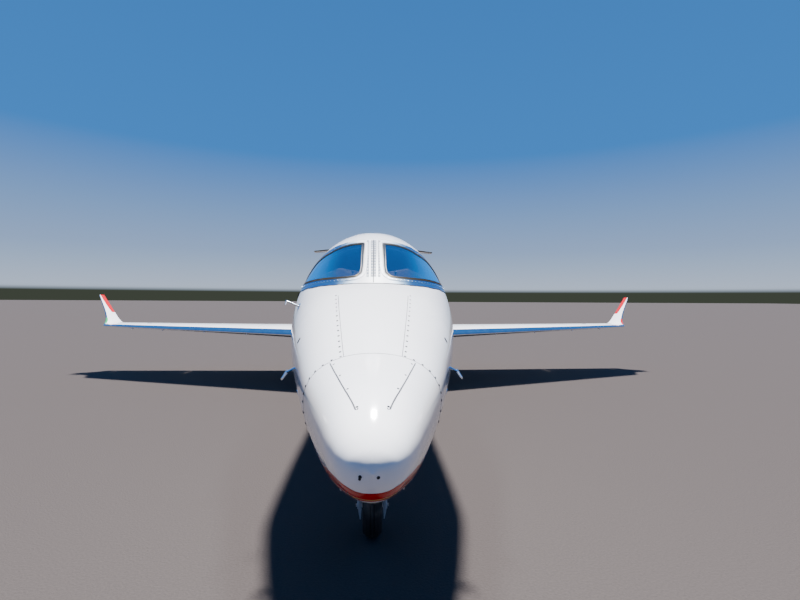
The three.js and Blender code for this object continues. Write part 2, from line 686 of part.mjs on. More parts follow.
// A seat: rail foot, base, cushion, back and headrest; it faces the nose or the tail
function seatShape(out, station, { half, deep, cushion, back, facing }) {
  const slab = (near, away, low, high, width) => {
    const [s1, s2] = facing > 0
      ? [station + near, station + away] : [station - away, station - near];
    return block([out - width, s1, low], [out + width, s2, high]);
  };
  return slab(60, deep - 40, floorTop + seat, cushion - 120, half - 70)
    .add(slab(0, deep, cushion - 130, cushion, half))
    .add(slab(deep - 90, deep + 40, cushion - 60, back, half - 15))
    .add(slab(deep - 80, deep + 20, back - 20, back + 170, half - 110));
}
const crewSeat = { half: 215, deep: 460, cushion: 1560, back: 2080, facing: 1 };
const crewSeats = seatShape(380, 3090, crewSeat).add(seatShape(-380, 3090, crewSeat))
  .add(block([-380, 3200, floorTop + seat], [380, 3240, floorTop + 30])
    .subtract(block([-131, 3100, 0], [131, 3251, 2000])))
  .add(block([-380, 3300, floorTop + seat], [380, 3360, floorTop + 30]));
place('crew_seats', crewSeats, hide);

const cabinSeat = { half: 230, deep: 500, cushion: 1580, back: 2140 };
const seatPlaces = [[5010, -1], [5990, 1], [7110, -1], [8090, 1]];
let cabinSeats = block([-470, 4480, floorTop + seat], [-410, 8620, floorTop + 25])
  .add(block([410, 4480, floorTop + seat], [470, 8620, floorTop + 25]))
  .add(block([-440, 6525, floorTop + seat], [440, 6585, floorTop + 25]));
for (const [station, facing] of seatPlaces) {
  for (const out of [-440, 440]) {
    cabinSeats = cabinSeats.add(seatShape(out, station, { ...cabinSeat, facing }));
  }
}
place('cabin_seats', cabinSeats, hide);

// Fairing under the body where the wing passes
const fairingHeight = 1080;
const fairingTable = [
  // station, half width, bottom
  [6300, 700, 706], [7000, 900, 690], [7600, 985, 672], [9500, 1000, 664], [10500, 960, 680],
  [11300, 660, 765],
];
const fairingShape = (grow) => loft(fairingTable.map(([station, half, bottom]) =>
  Array.from({ length: hullSides }, (_, i) => {
    const angle = (i * 2 * Math.PI) / hullSides;
    const [across, up] = [Math.sin(angle), Math.cos(angle)];
    const reach = (Math.abs(across) ** 2.5 + Math.abs(up) ** 2.5) ** (-1 / 2.5);
    const tall = up >= 0 ? 290 : fairingHeight - bottom;
    return new THREE.Vector3((half + grow) * across * reach,
      alongY(station), fairingHeight + (tall + grow) * up * reach);
  })));
place('belly_fairing', fairingShape(0).subtract(hullCutter), paint);

// Wings, with the small fences under their leading edges
let wing = wingShape();
for (const out of vortilons) {
  const { nose, chord, height } = rowAt(wingTable, out);
  const { ahead, behind, foot, below, above, thick } = vortilon;
  const front = nose + 0.01 * chord;
  const fence = new THREE.Shape([
    [front - ahead, height - below[0]], [nose + behind, height - below[1]],
    [nose + behind, height + above[0]], [front + foot, height + above[1]],
  ].map(([station, up]) => new THREE.Vector2(alongY(station), up)));
  wing = wing.add(solid(new THREE.ExtrudeGeometry(fence, { depth: thick, bevelEnabled: false }),
    new THREE.Matrix4().makeTranslation(out - thick / 2, 0, 0).multiply(acrossTurn)));
}
wing = wing.subtract(hullCutter).subtract(fairingShape(seat));
const flapLine = hingeLine(wingTable, flap, wingCamber);
const aileronLine = hingeLine(wingTable, aileron, wingCamber);
const [wingNoFlap, flapShape] = splitSurface(wing, flapLine, flap);
const [wingFixed, aileronShape] = splitSurface(wingNoFlap, aileronLine, aileron);
placePair('wing', wingFixed, paint);
placePair('flap', flapShape, paint);
placePair('aileron', aileronShape, paint);

const winglet = loft(wingletTable.map(([out, nose, chord, thick, height, lean], i) => {
  const angle = THREE.MathUtils.degToRad(lean);
  const start = i === 0 ? seat : 0;
  return foilRing({ nose, chord, thick, camber: wingCamber }, 0, (station, up) => new THREE.Vector3(
    out + start - up * Math.sin(angle), alongY(station), height + up * Math.cos(angle)));
}));
placePair('winglet', winglet, paint);

// Engines on their pylons
const nacelle = turned(nacelleProfile, engine.out, engine.height);
placePair('nacelle', nacelle, paint);
placePair('engine_core', turned(coreProfile, engine.out, engine.height), darkMetal);

let fanShape = turned(spinnerProfile, engine.out, engine.height, 12);
for (let i = 0; i < fan.blades; i += 1) {
  const angle = (i * 2 * Math.PI) / fan.blades;
  const blade = [[fan.root, 14], [fan.tip, 6]].map(([radius, thick]) => {
    const half = (fan.to - fan.from) / 2;
    const corner = (along, side) => {
      const shift = along * half * fan.pitch + (side * thick) / 2;
      return new THREE.Vector3(
        engine.out + radius * Math.sin(angle) + shift * Math.cos(angle),
        alongY((fan.from + fan.to) / 2 + along * half),
        engine.height + radius * Math.cos(angle) - shift * Math.sin(angle));
    };
    return [corner(-1, -1), corner(1, -1), corner(1, 1), corner(-1, 1)];
  });
  fanShape = fanShape.add(loft(blade));
}
placePair('fan', fanShape, wheelGrey);

const pylon = loft([500, 1150].map((out) => foilRing(
  { nose: 10950, chord: 2500, thick: 0.07 }, 0,
  (station, up) => new THREE.Vector3(out, alongY(station), 2190 + up))))
  .subtract(hullCutter)
  .subtract(turned([[0, 10600], ...nacelleProfile.slice(1, 6).map(([radius, station]) =>
    [radius + seat, station]), [0, 13600]], engine.out, engine.height));
placePair('pylon', pylon, paint);

// Tail
const upright = (out) => (station, side) => new THREE.Vector3(side, alongY(station), out);
const bladeOf = (table) => loft(table.map(([out, nose, chord, thick]) =>
  foilRing({ nose, chord, thick }, 0, upright(out))));
const bulletProfile = (grow) => [
  [0, bullet.from - grow], [bullet.radius * 0.45 + grow, bullet.from + 60],
  [bullet.radius * 0.8 + grow, bullet.from + 240], [bullet.radius + grow, bullet.from + 600],
  [bullet.radius + grow, bullet.from + 1200], [bullet.radius * 0.7 + grow, bullet.to - 500],
  [bullet.radius * 0.2 + grow, bullet.to], [0, bullet.to + grow],
];
const stabBlade = (grow) => loft(stabTable.map(([out, nose, chord, thick, height]) => foilRing(
  { nose, chord, thick }, grow,
  (station, up) => new THREE.Vector3(out, alongY(station), height + up))));
const stabHalf = stabBlade(0);
const elevatorLine = hingeLine(stabTable, elevator, 0);
const [stabFixed, elevatorShape] = splitSurface(stabHalf, elevatorLine, elevator);
const bulletShape = turned(bulletProfile(0), 0, bullet.height, 16);
const stabilizer = stabFixed.add(mirror(stabFixed)).add(bulletShape);
place('stabilizer', stabilizer, paint);
placePair('elevator', elevatorShape, paint);

const finWhole = bladeOf(finTable).add(bladeOf(dorsalTable))
  .subtract(hullCutter)
  .subtract(turned(bulletProfile(seat), 0, bullet.height, 16))
  .subtract(block([-far, 0, bullet.height - 20], [far, length + far, far * 2]));
const rudderLine = hingeLine(finTable, rudder, 0, true);
const [finFixed, rudderShape] = splitSurface(finWhole, rudderLine, rudder, true);
place('fin', finFixed, paint);
place('rudder', rudderShape, paint);

const ventral = loft([ventralRoot, ventralTip].map(({ out, nose, chord, height }) => foilRing(
  { nose, chord, thick: ventralThick }, 0,
  (station, side) => new THREE.Vector3(
    out + side * ventralSide[0], alongY(station), height + side * ventralSide[1]))))
  .subtract(hullCutter);
placePair('ventral_fin', ventral, paint);

// Nose gear: the leg, the fork that steers, the wheel and the two well doors
const noseAxle = noseWheel.radius * flat;
const { braceFoot, braceTop } = noseStrut;
const noseLeg = bar(
  [0, steerStation, well.top - seat], [0, steerStation, noseStrut.end], noseStrut.leg)
  .add(bar([0, steerStation, braceFoot], [0, well.to - seat - 30, braceTop], noseStrut.brace))
  .add(block([-70, well.to - 60, braceTop - 50], [70, well.to - seat, braceTop + 50]))
  .add(bar([-90, steerStation, 780], [90, steerStation, 780], noseStrut.cross));
place('nose_leg', noseLeg, legGrey);

const onAxle = (out) => [out, noseWheel.station, noseAxle];
let noseFork = bar([0, steerStation, noseStrut.end - seat], [0, steerStation, 480], noseBridge.turn)
  .add(block([-noseBridge.half, steerStation - noseBridge.deep, noseBridge.low],
    [noseBridge.half, steerStation + noseBridge.deep, noseBridge.high]))
  .add(bar(onAxle(-noseBoss.to + 8), onAxle(noseBoss.to - 8), noseBoss.axle));
for (const side of [-1, 1]) {
  noseFork = noseFork.add(loft(noseArm.map(([out, station, height, deep, thin]) => [
    new THREE.Vector3(side * out - thin, alongY(station) - deep, height),
    new THREE.Vector3(side * out + thin, alongY(station) - deep, height),
    new THREE.Vector3(side * out + thin, alongY(station) + deep, height),
    new THREE.Vector3(side * out - thin, alongY(station) + deep, height),
  ]))).add(bar(onAxle(side * noseBoss.from), onAxle(side * noseBoss.to), noseBoss.radius));
}
place('nose_fork', noseFork, legGrey);

// A wheel turned about a crosswise axis, from rows of radius and distance out
function wheelShape(profile, { out, station, height }) {
  const points = profile.map(([radius, across]) => new THREE.Vector2(radius, across));
  points.push(points[0].clone());
  const shape = new THREE.LatheGeometry(points, wheelSides, Math.PI / wheelSides);
  const turn = new THREE.Matrix4().makeRotationZ(-Math.PI / 2);
  return closedFrom(shape,
    new THREE.Matrix4().makeTranslation(out, alongY(station), height).multiply(turn));
}

const tyreProfile = ({ radius, width, rim }) => [
  [rim + seat, -0.38 * width], [0.5 * (radius + rim), -0.5 * width],
  [radius - 0.14 * width, -0.43 * width], [radius, -0.16 * width], [radius, 0.16 * width],
  [radius - 0.14 * width, 0.43 * width], [0.5 * (radius + rim), 0.5 * width],
  [rim + seat, 0.38 * width],
];
const rimProfile = ({ width, rim }, bore) => [
  [bore, -0.24 * width], [rim - 22, -0.12 * width], [rim, -0.38 * width], [rim, 0.38 * width],
  [rim - 22, 0.12 * width], [bore, 0.24 * width],
];
const nosePlace = { out: 0, station: noseWheel.station, height: noseAxle };
place('nose_tyre', wheelShape(tyreProfile(noseWheel), nosePlace), rubber);
place('nose_rim', wheelShape(rimProfile(noseWheel, 20.6), nosePlace), wheelGrey);

const noseDoorEnds = [well.from + 20, well.to - 30];
const noseDoorPanel = [
  // across, height
  [well.half - 13, 708], [well.half - seat, 712], [228, 540], [216, 540],
];
const noseDoor = loft(noseDoorEnds.map((station) =>
  noseDoorPanel.map(([out, height]) => new THREE.Vector3(out, alongY(station), height))))
  .add(block([well.half - 13, noseDoorEnds[0], 700], [well.half - seat, noseDoorEnds[1], 800]));
placePair('nose_door', noseDoor, paint);

// Main gear: leg with its trailing arm, twin wheels on one axle, tyres and the leg door
const mainAxle = mainWheel.radius * flat;
const knee = { station: 9470, height: 420 };
const legTop = { station: 9480, height: 1080 };
const shockTop = { station: 9560, height: 830 };
const wingCutter = wingShape(seat);
const atKnee = (side = 0) => [mainWheel.out + side, knee.station, knee.height];
const atHub = (side = 0) => [mainWheel.out + side, mainWheel.station, mainAxle];
const mainLeg = bar([mainWheel.out, legTop.station, legTop.height], atKnee(), mainStrut.leg)
  .add(bar(atKnee(-mainStrut.half), atKnee(mainStrut.half), mainStrut.knee))
  .add(bar(atKnee(), atHub(), ...mainStrut.arm))
  .add(bar([mainWheel.out, mainWheel.station - 30, mainAxle + 30],
    [mainWheel.out, shockTop.station, shockTop.height], mainStrut.shock))
  .add(bar(atHub(-mainStrut.half), atHub(mainStrut.half), mainStrut.hub))
  .add(bar([mainWheel.out, legTop.station, 760], [900, legTop.station, 1000], mainStrut.brace))
  .subtract(bar(atHub(-60), atHub(60), 41, 41, wheelSides))
  .subtract(wingCutter)
  .subtract(fairingShape(seat))
  .subtract(hullCutter);
placePair('main_leg', mainLeg, legGrey);

let mainHub = bar([mainWheel.out - 200, mainWheel.station, mainAxle],
  [mainWheel.out + 200, mainWheel.station, mainAxle], 40, 40, wheelSides);
for (const side of [-1, 1]) {
  const out = mainWheel.out + (side * mainWheel.apart) / 2;
  mainHub = mainHub.add(wheelShape(rimProfile(mainWheel, 30),
    { out, station: mainWheel.station, height: mainAxle }));
}
placePair('main_hub', mainHub, wheelGrey);
for (const [name, side] of [['inner', -1], ['outer', 1]]) {
  const out = mainWheel.out + (side * mainWheel.apart) / 2;
  placePair(`main_tyre_${name}`, wheelShape(tyreProfile(mainWheel),
    { out, station: mainWheel.station, height: mainAxle }), rubber);
}

const legDoor = { out: 1682, thick: 14, from: 9230, to: 9540, low: 560, high: 1000 };
const doorLink = { half: 20, low: 800, high: 830 };
const mainDoor = block([legDoor.out, legDoor.from, legDoor.low],
  [legDoor.out + legDoor.thick, legDoor.to, legDoor.high])
  .add(block([mainWheel.out, legTop.station - doorLink.half, doorLink.low],
    [legDoor.out + 5, legTop.station + doorLink.half, doorLink.high])
    .subtract(bar([mainWheel.out, legTop.station, legTop.height], atKnee(),
      mainStrut.leg + seat)));
placePair('main_door', mainDoor.subtract(wingCutter), paint);

// Air data probes on the sides of the nose
const probeRoute = [[610, 1915, 1340], [690, 1905, 1300], [686, 1930, 1304], [700, 1780, 1270]];
const probe = bar(probeRoute[0], probeRoute[1], 22, 15, 8)
  .add(bar(probeRoute[2], probeRoute[3], 13, 9, 8))
  .subtract(hullCutter);
placePair('pitot', probe, polished);

export default aircraft;
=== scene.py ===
import math
import bpy
import numpy as np
from mathutils import Matrix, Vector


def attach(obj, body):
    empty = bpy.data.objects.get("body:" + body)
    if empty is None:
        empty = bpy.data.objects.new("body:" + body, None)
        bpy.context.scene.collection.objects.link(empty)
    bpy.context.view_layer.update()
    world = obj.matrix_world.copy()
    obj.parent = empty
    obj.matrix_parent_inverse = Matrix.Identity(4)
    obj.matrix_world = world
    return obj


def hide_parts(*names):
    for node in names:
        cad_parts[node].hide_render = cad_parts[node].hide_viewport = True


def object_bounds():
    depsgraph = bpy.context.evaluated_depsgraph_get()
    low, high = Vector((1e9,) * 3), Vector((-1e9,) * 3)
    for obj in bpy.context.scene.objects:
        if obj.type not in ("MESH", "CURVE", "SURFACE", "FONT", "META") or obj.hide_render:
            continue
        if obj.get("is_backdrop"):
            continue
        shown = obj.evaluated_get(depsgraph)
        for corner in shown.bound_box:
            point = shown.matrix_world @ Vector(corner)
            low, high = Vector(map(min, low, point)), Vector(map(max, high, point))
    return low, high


# A twin-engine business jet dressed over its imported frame. Metres, nose towards -Y, door on +X.
# Lengthwise places are stations, measured from the nose tip.
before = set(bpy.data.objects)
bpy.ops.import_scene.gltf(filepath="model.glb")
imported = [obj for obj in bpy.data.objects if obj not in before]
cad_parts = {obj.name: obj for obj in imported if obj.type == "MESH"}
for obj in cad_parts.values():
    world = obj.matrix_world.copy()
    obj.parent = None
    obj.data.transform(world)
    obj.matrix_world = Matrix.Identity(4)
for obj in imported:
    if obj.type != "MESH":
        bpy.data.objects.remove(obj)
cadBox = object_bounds()
noseTip = -8.7
print("frame loaded:", len(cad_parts), "nodes")


# Shapes: points and faces held as arrays until they become a piece

class Shape:
    def __init__(self, points, faces, tone=0):
        self.points = np.asarray(points, float).reshape(-1, 3)
        self.faces = [np.asarray(f, int) for f in faces if len(f)]
        self.tones = [np.full(len(f), tone) for f in self.faces]

    def __add__(self, other):
        both = Shape(np.vstack([self.points, other.points]), [])
        both.faces = self.faces + [f + len(self.points) for f in other.faces]
        both.tones = self.tones + other.tones
        return both

    def changed(self, points, flip=False):
        new = Shape(points, [])
        new.faces = [f[:, ::-1] if flip else f for f in self.faces]
        new.tones = list(self.tones)
        return new

    def mirrored(self):
        return self.changed(self.points * [-1, 1, 1], flip=True)

    def both(self):
        return self + self.mirrored()

    def moved(self, x, y=0, z=0):
        return self.changed(self.points + [x, y, z])

    def toned(self, tone):
        new = self.changed(self.points)
        new.tones = [np.full(len(f), tone) for f in self.faces]
        return new


def around(count):
    return np.linspace(0, 2 * math.pi, count, endpoint=False)


def circle(count):
    return np.cos(around(count)), np.sin(around(count))


def unit(vectors):
    return vectors / np.linalg.norm(vectors, axis=-1, keepdims=True)


def walked(points):
    # the distance walked to each point of a path
    return np.concatenate([[0], np.cumsum(np.linalg.norm(np.diff(points, axis=0), axis=1))])


def gridFaces(rows, columns, wrapRows=False):
    # quads between neighbouring rows of a grid whose columns close on themselves
    i, j = np.arange(rows if wrapRows else rows - 1)[:, None], np.arange(columns)
    here, below, beside = i * columns, (i + 1) % rows * columns, (j + 1) % columns
    return np.stack([here + j, here + beside, below + beside, below + j], -1).reshape(-1, 4)


def outward(shape):
    # the volume's sign tells whether the faces point out
    total = 0
    for f in shape.faces:
        for k in range(1, f.shape[1] - 1):
            a, b, c = (shape.points[f[:, n]] for n in (0, k, k + 1))
            total += np.einsum("ij,ij->i", a, np.cross(b, c)).sum()
    return shape if total >= 0 else shape.changed(shape.points, flip=True)


def loft(rings, tone=0, first=None, last=None):
    # closed rings joined in order, each end closed by a fan round its middle
    rings = np.asarray(rings, float)
    n, m = rings.shape[:2]
    first = rings[0].mean(0) if first is None else first
    last = rings[-1].mean(0) if last is None else last
    points = np.vstack([rings.reshape(-1, 3), first, last])
    j = np.arange(m)
    k = (j + 1) % m
    ends = np.vstack([np.stack([np.full(m, n * m), k, j], -1),
                      np.stack([np.full(m, n * m + 1), (n - 1) * m + j, (n - 1) * m + k], -1)])
    return outward(Shape(points, [gridFaces(n, m), ends], tone))


def torus(grid):
    # a grid that closes on itself both ways
    n, m = np.asarray(grid).shape[:2]
    return outward(Shape(grid, [gridFaces(n, m, True)]))


def frames(path, closed):
    # two directions across a path, turned as little as possible from point to point
    ahead = unit(np.roll(path, -1, 0) - np.roll(path, 1, 0) if closed else np.gradient(path, axis=0))
    side = np.cross(ahead[0], [0.1, 0.2, 1.0])
    sides = []
    for direction in ahead:
        side = unit(side - direction * side.dot(direction))
        sides.append(side)
    return np.array(sides), np.cross(ahead, sides)


def tube(path, radius, sides=12, closed=False):
    # a round profile carried along a path
    path = np.asarray(path, float)
    across, up = (way[:, None] for way in frames(path, closed))
    turn = around(sides)[:, None]
    reach = np.broadcast_to(radius, len(path))[:, None, None]
    rings = path[:, None] + reach * (across * np.cos(turn) + up * np.sin(turn))
    return torus(rings) if closed else loft(rings)


def curve(rows, count, columns=slice(None)):
    # a smooth path through some rows, in steps that are even in some of their columns
    rows = np.asarray(rows, float)
    walk = walked(rows[:, columns])
    steps = np.linspace(0, walk[-1], count)
    return np.stack([steadyCurve(walk, column)(steps) for column in rows.T], -1)


def lathe(profile, centre, axis=(0, 1, 0), sides=64, tone=0):
    # rows of radius and distance along the axis, turned right round it and closed at both ends
    profile = np.asarray(profile, float)
    axis = unit(np.asarray(axis, float))
    side = unit(np.cross(axis, [0, 1e-6, 1.0]))
    turn = around(sides)[:, None]
    spoke = np.cos(turn) * np.cross(side, axis) + np.sin(turn) * side
    radii, places = profile.T[:, :, None, None]
    return loft(np.asarray(centre) + places * axis + np.maximum(radii, 1e-5) * spoke, tone)


def latheRing(profile, centre, axis=(0, 1, 0), sides=64):
    # as lathe, for a closed outline that keeps off the axis
    return torus(lathe(profile, centre, axis, sides).points[:-2].reshape(len(profile), sides, 3))


def roundedBox(low, high, radius, steps=3, tone=0):
    # a block whose corners and edges are rounded: a sphere's points pushed out to its eight corners
    low, high = np.asarray(low, float), np.asarray(high, float)
    radius = min(radius, (high - low).min() / 2 * 0.98)
    n = 4 * (steps + 1)
    lat = np.concatenate([np.linspace(-90, 0, steps + 1), np.linspace(0, 90, steps + 1)])
    lon = np.concatenate([np.linspace(q, q + 90, steps + 1) for q in (0, 90, 180, 270)])
    la, lo = np.radians(lat)[1:-1, None], np.radians(lon)[None, :]
    ball = np.stack([np.cos(la) * np.cos(lo), np.cos(la) * np.sin(lo), np.sin(la) * np.ones_like(lo)], -1)
    quarter = np.repeat([[1, 1], [-1, 1], [-1, -1], [1, -1]], steps + 1, 0)
    half = np.where(np.arange(len(lat)) <= steps, -1, 1)[1:-1]
    sign = np.concatenate([np.broadcast_to(quarter[None], (len(half), n, 2)),
                           np.broadcast_to(half[:, None, None], (len(half), n, 1))], -1)
    core = (high - low) / 2 - radius
    rings = (low + high) / 2 + sign * core + ball * radius
    caps = [rings[0] * [1, 1, 0] + [0, 0, low[2]], rings[-1] * [1, 1, 0] + [0, 0, high[2]]]
    return loft(np.stack([caps[0], *rings, caps[1]]), tone)


def studs(points, normals, radius, height, sides=8, tone=0):
    # many low domes at once: two rings and a middle each, sunk a little into what carries them
    points, normals = (np.asarray(v, float)[:, None] for v in (points, normals))
    side = unit(np.cross(normals, [0.31, 0.22, 0.93]))
    turn = around(sides)[:, None]
    spoke = side * np.cos(turn) + np.cross(normals, side) * np.sin(turn)
    rings = [points + spoke * radius * r + normals * height * h for r, h in ((1, -1.5), (1, 0.5), (0.7, 0.9))]
    block = np.concatenate([*rings, points + normals * height], 1)
    j = np.arange(sides)
    k = (j + 1) % sides
    quads = np.concatenate([np.stack([j, k, k + sides, j + sides], -1) + r * sides for r in (0, 1)])
    tris = np.stack([2 * sides + j, 2 * sides + k, np.full(sides, 3 * sides)], -1)
    step = np.arange(len(points))[:, None, None] * (3 * sides + 1)
    return Shape(block, [(quads[None] + step).reshape(-1, 4), (tris[None] + step).reshape(-1, 3)], tone)


def together(shapes):
    total, *rest = shapes
    for shape in rest:
        total = total + shape
    return total


def steadyCurve(xs, ys):
    # a curve through the points that never overshoots them
    xs, ys = np.asarray(xs, float), np.asarray(ys, float)
    step, rise = np.diff(xs), np.diff(ys) / np.diff(xs)
    slope = np.concatenate([[rise[0]], np.zeros(len(xs) - 2), [rise[-1]]])
    same = rise[:-1] * rise[1:] > 0
    w1, w2 = 2 * step[1:] + step[:-1], step[1:] + 2 * step[:-1]
    slope[1:-1][same] = (w1 + w2)[same] / (w1[same] / rise[:-1][same] + w2[same] / rise[1:][same])

    def value(x):
        i = np.clip(np.searchsorted(xs, x, side="right") - 1, 0, len(xs) - 2)
        t = (x - xs[i]) / step[i]
        return (ys[i] * (1 + 2 * t) * (1 - t) ** 2 + slope[i] * step[i] * t * (1 - t) ** 2
                + ys[i + 1] * t * t * (3 - 2 * t) + slope[i + 1] * step[i] * t * t * (t - 1))
    return value


# Pieces and cuts

def added(name, data):
    thing = bpy.data.objects.new(name, data)
    bpy.context.scene.collection.objects.link(thing)
    return thing


def discard(thing):
    mesh = thing.data
    bpy.data.objects.remove(thing)
    bpy.data.meshes.remove(mesh)


def evaluated(thing):
    # a new mesh, as the object's modifiers leave it
    bpy.context.view_layer.update()
    return bpy.data.meshes.new_from_object(thing.evaluated_get(bpy.context.evaluated_depsgraph_get()))


def fetched(items, key, width=1, kind=float):
    # one attribute of all the points, corners or faces of a mesh
    values = np.zeros(len(items) * width, kind)
    items.foreach_get(key, values)
    return values.reshape(-1, width) if width > 1 else values


def meshOf(name, shape):
    mesh = bpy.data.meshes.new(name)
    corners = np.concatenate([f.ravel() for f in shape.faces])
    sizes = np.concatenate([np.full(len(f), f.shape[1]) for f in shape.faces])
    mesh.vertices.add(len(shape.points))
    mesh.vertices.foreach_set("co", shape.points.astype(np.float32).ravel())
    mesh.loops.add(len(corners))
    mesh.loops.foreach_set("vertex_index", corners.astype(np.int32))
    mesh.polygons.add(len(sizes))
    mesh.polygons.foreach_set("loop_start", (np.cumsum(sizes) - sizes).astype(np.int32))
    mesh.polygons.foreach_set("use_smooth", np.ones(len(sizes), bool))
    mesh.polygons.foreach_set("material_index", np.concatenate(shape.tones).astype(np.int32))
    mesh.update(calc_edges=True)
    mesh.validate()
    return mesh


def combine(shape, cutters, operation="DIFFERENCE"):
    # cuts, joins or crosses closed shapes, and gives the result back as triangles
    shapes = [shape, *cutters]
    holder, *others = things = [added("holder", meshOf("holder", s)) for s in shapes]
    tones = 1 + max(np.concatenate(s.tones).max() for s in shapes)
    for thing in things:
        for _ in range(tones):
            thing.data.materials.append(None)
    for other in others:
        step = holder.modifiers.new("cut", "BOOLEAN")
        step.operation, step.solver, step.object = operation, "MANIFOLD", other
    done = evaluated(holder)
    done.calc_loop_triangles()
    owner = fetched(done.loop_triangles, "polygon_index", kind=int)
    result = Shape(fetched(done.vertices, "co", 3), [fetched(done.loop_triangles, "vertices", 3, int)])
    result.tones = [fetched(done.polygons, "material_index", kind=int)[owner]]
    for thing in things:
        discard(thing)
    bpy.data.meshes.remove(done)
    return result


def piece(name, shape, finishes, body="airframe", replaces="", slot="", sharp=35, onHull=False):
    # turns a shape into an object that rides on its body
    mesh = meshOf(name, shape)
    for finish in finishes if isinstance(finishes, list) else [finishes]:
        mesh.materials.append(finish)
    thing = added(name, mesh)
    if onHull:
        followSkin(mesh)
    else:
        mesh.set_sharp_from_angle(angle=math.radians(sharp))
    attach(thing, body)
    if replaces:
        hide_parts(replaces)
    return thing


def followSkin(mesh, agree=0.94):
    # corners on the body's skin take the true normal of its formula, the others stay flat
    corners, sizes = fetched(mesh.loops, "vertex_index", kind=int), fetched(mesh.polygons, "loop_total", kind=int)
    true = hullNormal(*skinPlace(fetched(mesh.vertices, "co", 3)))[corners]
    flat = np.repeat(fetched(mesh.polygons, "normal", 3), sizes, 0)
    near = np.einsum("ij,ij->i", true, flat)[:, None]
    mesh.normals_split_custom_set(np.where(near > agree, true, np.where(near < -agree, -true, flat)))


def pair(name, shape, finishes, body="airframe", replaces="", **more):
    # a piece on the +X side and its mirror image; a body or node name may hold {side}
    for side, one in (("left", shape), ("right", shape.mirrored())):
        piece(f"{name}{side.capitalize()}", one, finishes, body.format(side=side), replaces.format(side=side), **more)


# Shader maths

class Link:
    # a shader value that Python's signs can reckon with
    def __init__(self, finish, socket):
        self.finish, self.socket = finish, socket

    def do(self, operation, *values):
        return self.finish.node("Math", {"operation": operation}, dict(enumerate(values)))

    def __add__(self, other): return self.do("ADD", self, other)
    def __rsub__(self, other): return self.do("SUBTRACT", other, self)
    def __mul__(self, other): return self.do("MULTIPLY", self, other)
    def __abs__(self): return self.do("ABSOLUTE", self)

    def ramp(self, low, high):
        return self.finish.node("MapRange", {"interpolation_type": "SMOOTHSTEP"}, {0: self, 1: low, 2: high})


class Finish:
    def __init__(self, name, **settings):
        self.material = bpy.data.materials.new(name)
        self.material.use_nodes = True
        self.nodes, self.links = self.material.node_tree.nodes, self.material.node_tree.links
        self.shader = self.nodes["Principled BSDF"]
        for key, value in settings.items():
            self.shader.inputs[key.replace("_", " ")].default_value = value
        self.place = self.node("TexCoord", output="Object")

    def node(self, kind, settings=None, sockets=None, output=0):
        new = self.nodes.new("ShaderNode" + kind)
        for key, value in (settings or {}).items():
            setattr(new, key, value)
        for key, value in (sockets or {}).items():
            if isinstance(value, Link):
                self.links.new(value.socket, new.inputs[key])
            else:
                new.inputs[key].default_value = value
        return Link(self, new.outputs[output])

    def axis(self, which):
        return self.node("SeparateXYZ", None, {0: self.place}, output=which)

    def noise(self, scale, detail, stretch=(1, 1, 1)):
        place = self.node("Mapping", None, {"Vector": self.place, "Scale": stretch})
        return self.node("TexNoise", None, {"Vector": place, "Scale": scale, "Detail": detail}, "Fac")

    def mixed(self, mask, a, b):
        # colour a where the mask is 0 and b where it is 1
        return self.node("Mix", {"data_type": "RGBA"}, {0: mask, 6: shade(a), 7: shade(b)}, output=2)

    def bump(self, height, distance):
        return self.node("Bump", None, {"Height": height, "Distance": distance, "Strength": 1.0})

    def set(self, **links):
        for key, link in links.items():
            self.links.new(link.socket, self.shader.inputs[key.replace("_", " ")])
        return self.material


def shade(colour):
    return (*colour, 1.0)


def paint(name, base, soiled, rough=0.13, coat=0.6, peel=0.00006, shine=0.5):
    # glossy sprayed paint: faint orange peel, a large slow change of tone and thin grime that streaks aft
    made = Finish(name, Coat_Weight=coat, Coat_Roughness=0.04, Specular_IOR_Level=shine)
    slow, streak = made.noise(1.3, 4.0), made.noise(6.0, 6.0, (1, 0.08, 1.6))
    grime = streak.ramp(0.52, 0.86) * 0.3 + slow.ramp(0.45, 0.8) * 0.2
    height = made.noise(260.0, 1.0) + made.noise(38.0, 2.0) * 0.6
    return made.set(Base_Color=made.mixed(grime, base, soiled), Roughness=grime * 0.2 + rough,
                    Normal=made.bump(height, peel))


def metal(name, base, dull, rough, brush=(1, 40, 1), depth=0.00003):
    # polished or brushed metal with fine lines one way and cloudy handling marks
    made = Finish(name, Metallic=1.0)
    lines, cloud = made.noise(90.0, 2.0, brush), made.noise(9.0, 4.0)
    return made.set(Base_Color=made.mixed(cloud.ramp(0.35, 0.75), base, dull),
                    Roughness=lines * 0.1 + cloud * 0.12 + rough, Normal=made.bump(lines, depth))


def plastic(name, base, worn, rough, grain=420.0, depth=0.00025, shine=0.4):
    # moulded or coated trim with a leathery grain that shines where hands rub it
    made = Finish(name, Specular_IOR_Level=shine)
    cells = made.node("TexVoronoi", None, {"Vector": made.place, "Scale": grain}, "Distance")
    rub = made.noise(5.0, 4.0).ramp(0.5, 0.8)
    return made.set(Base_Color=made.mixed(rub, base, worn), Roughness=rough - rub * 0.15,
                    Normal=made.bump(cells, depth))


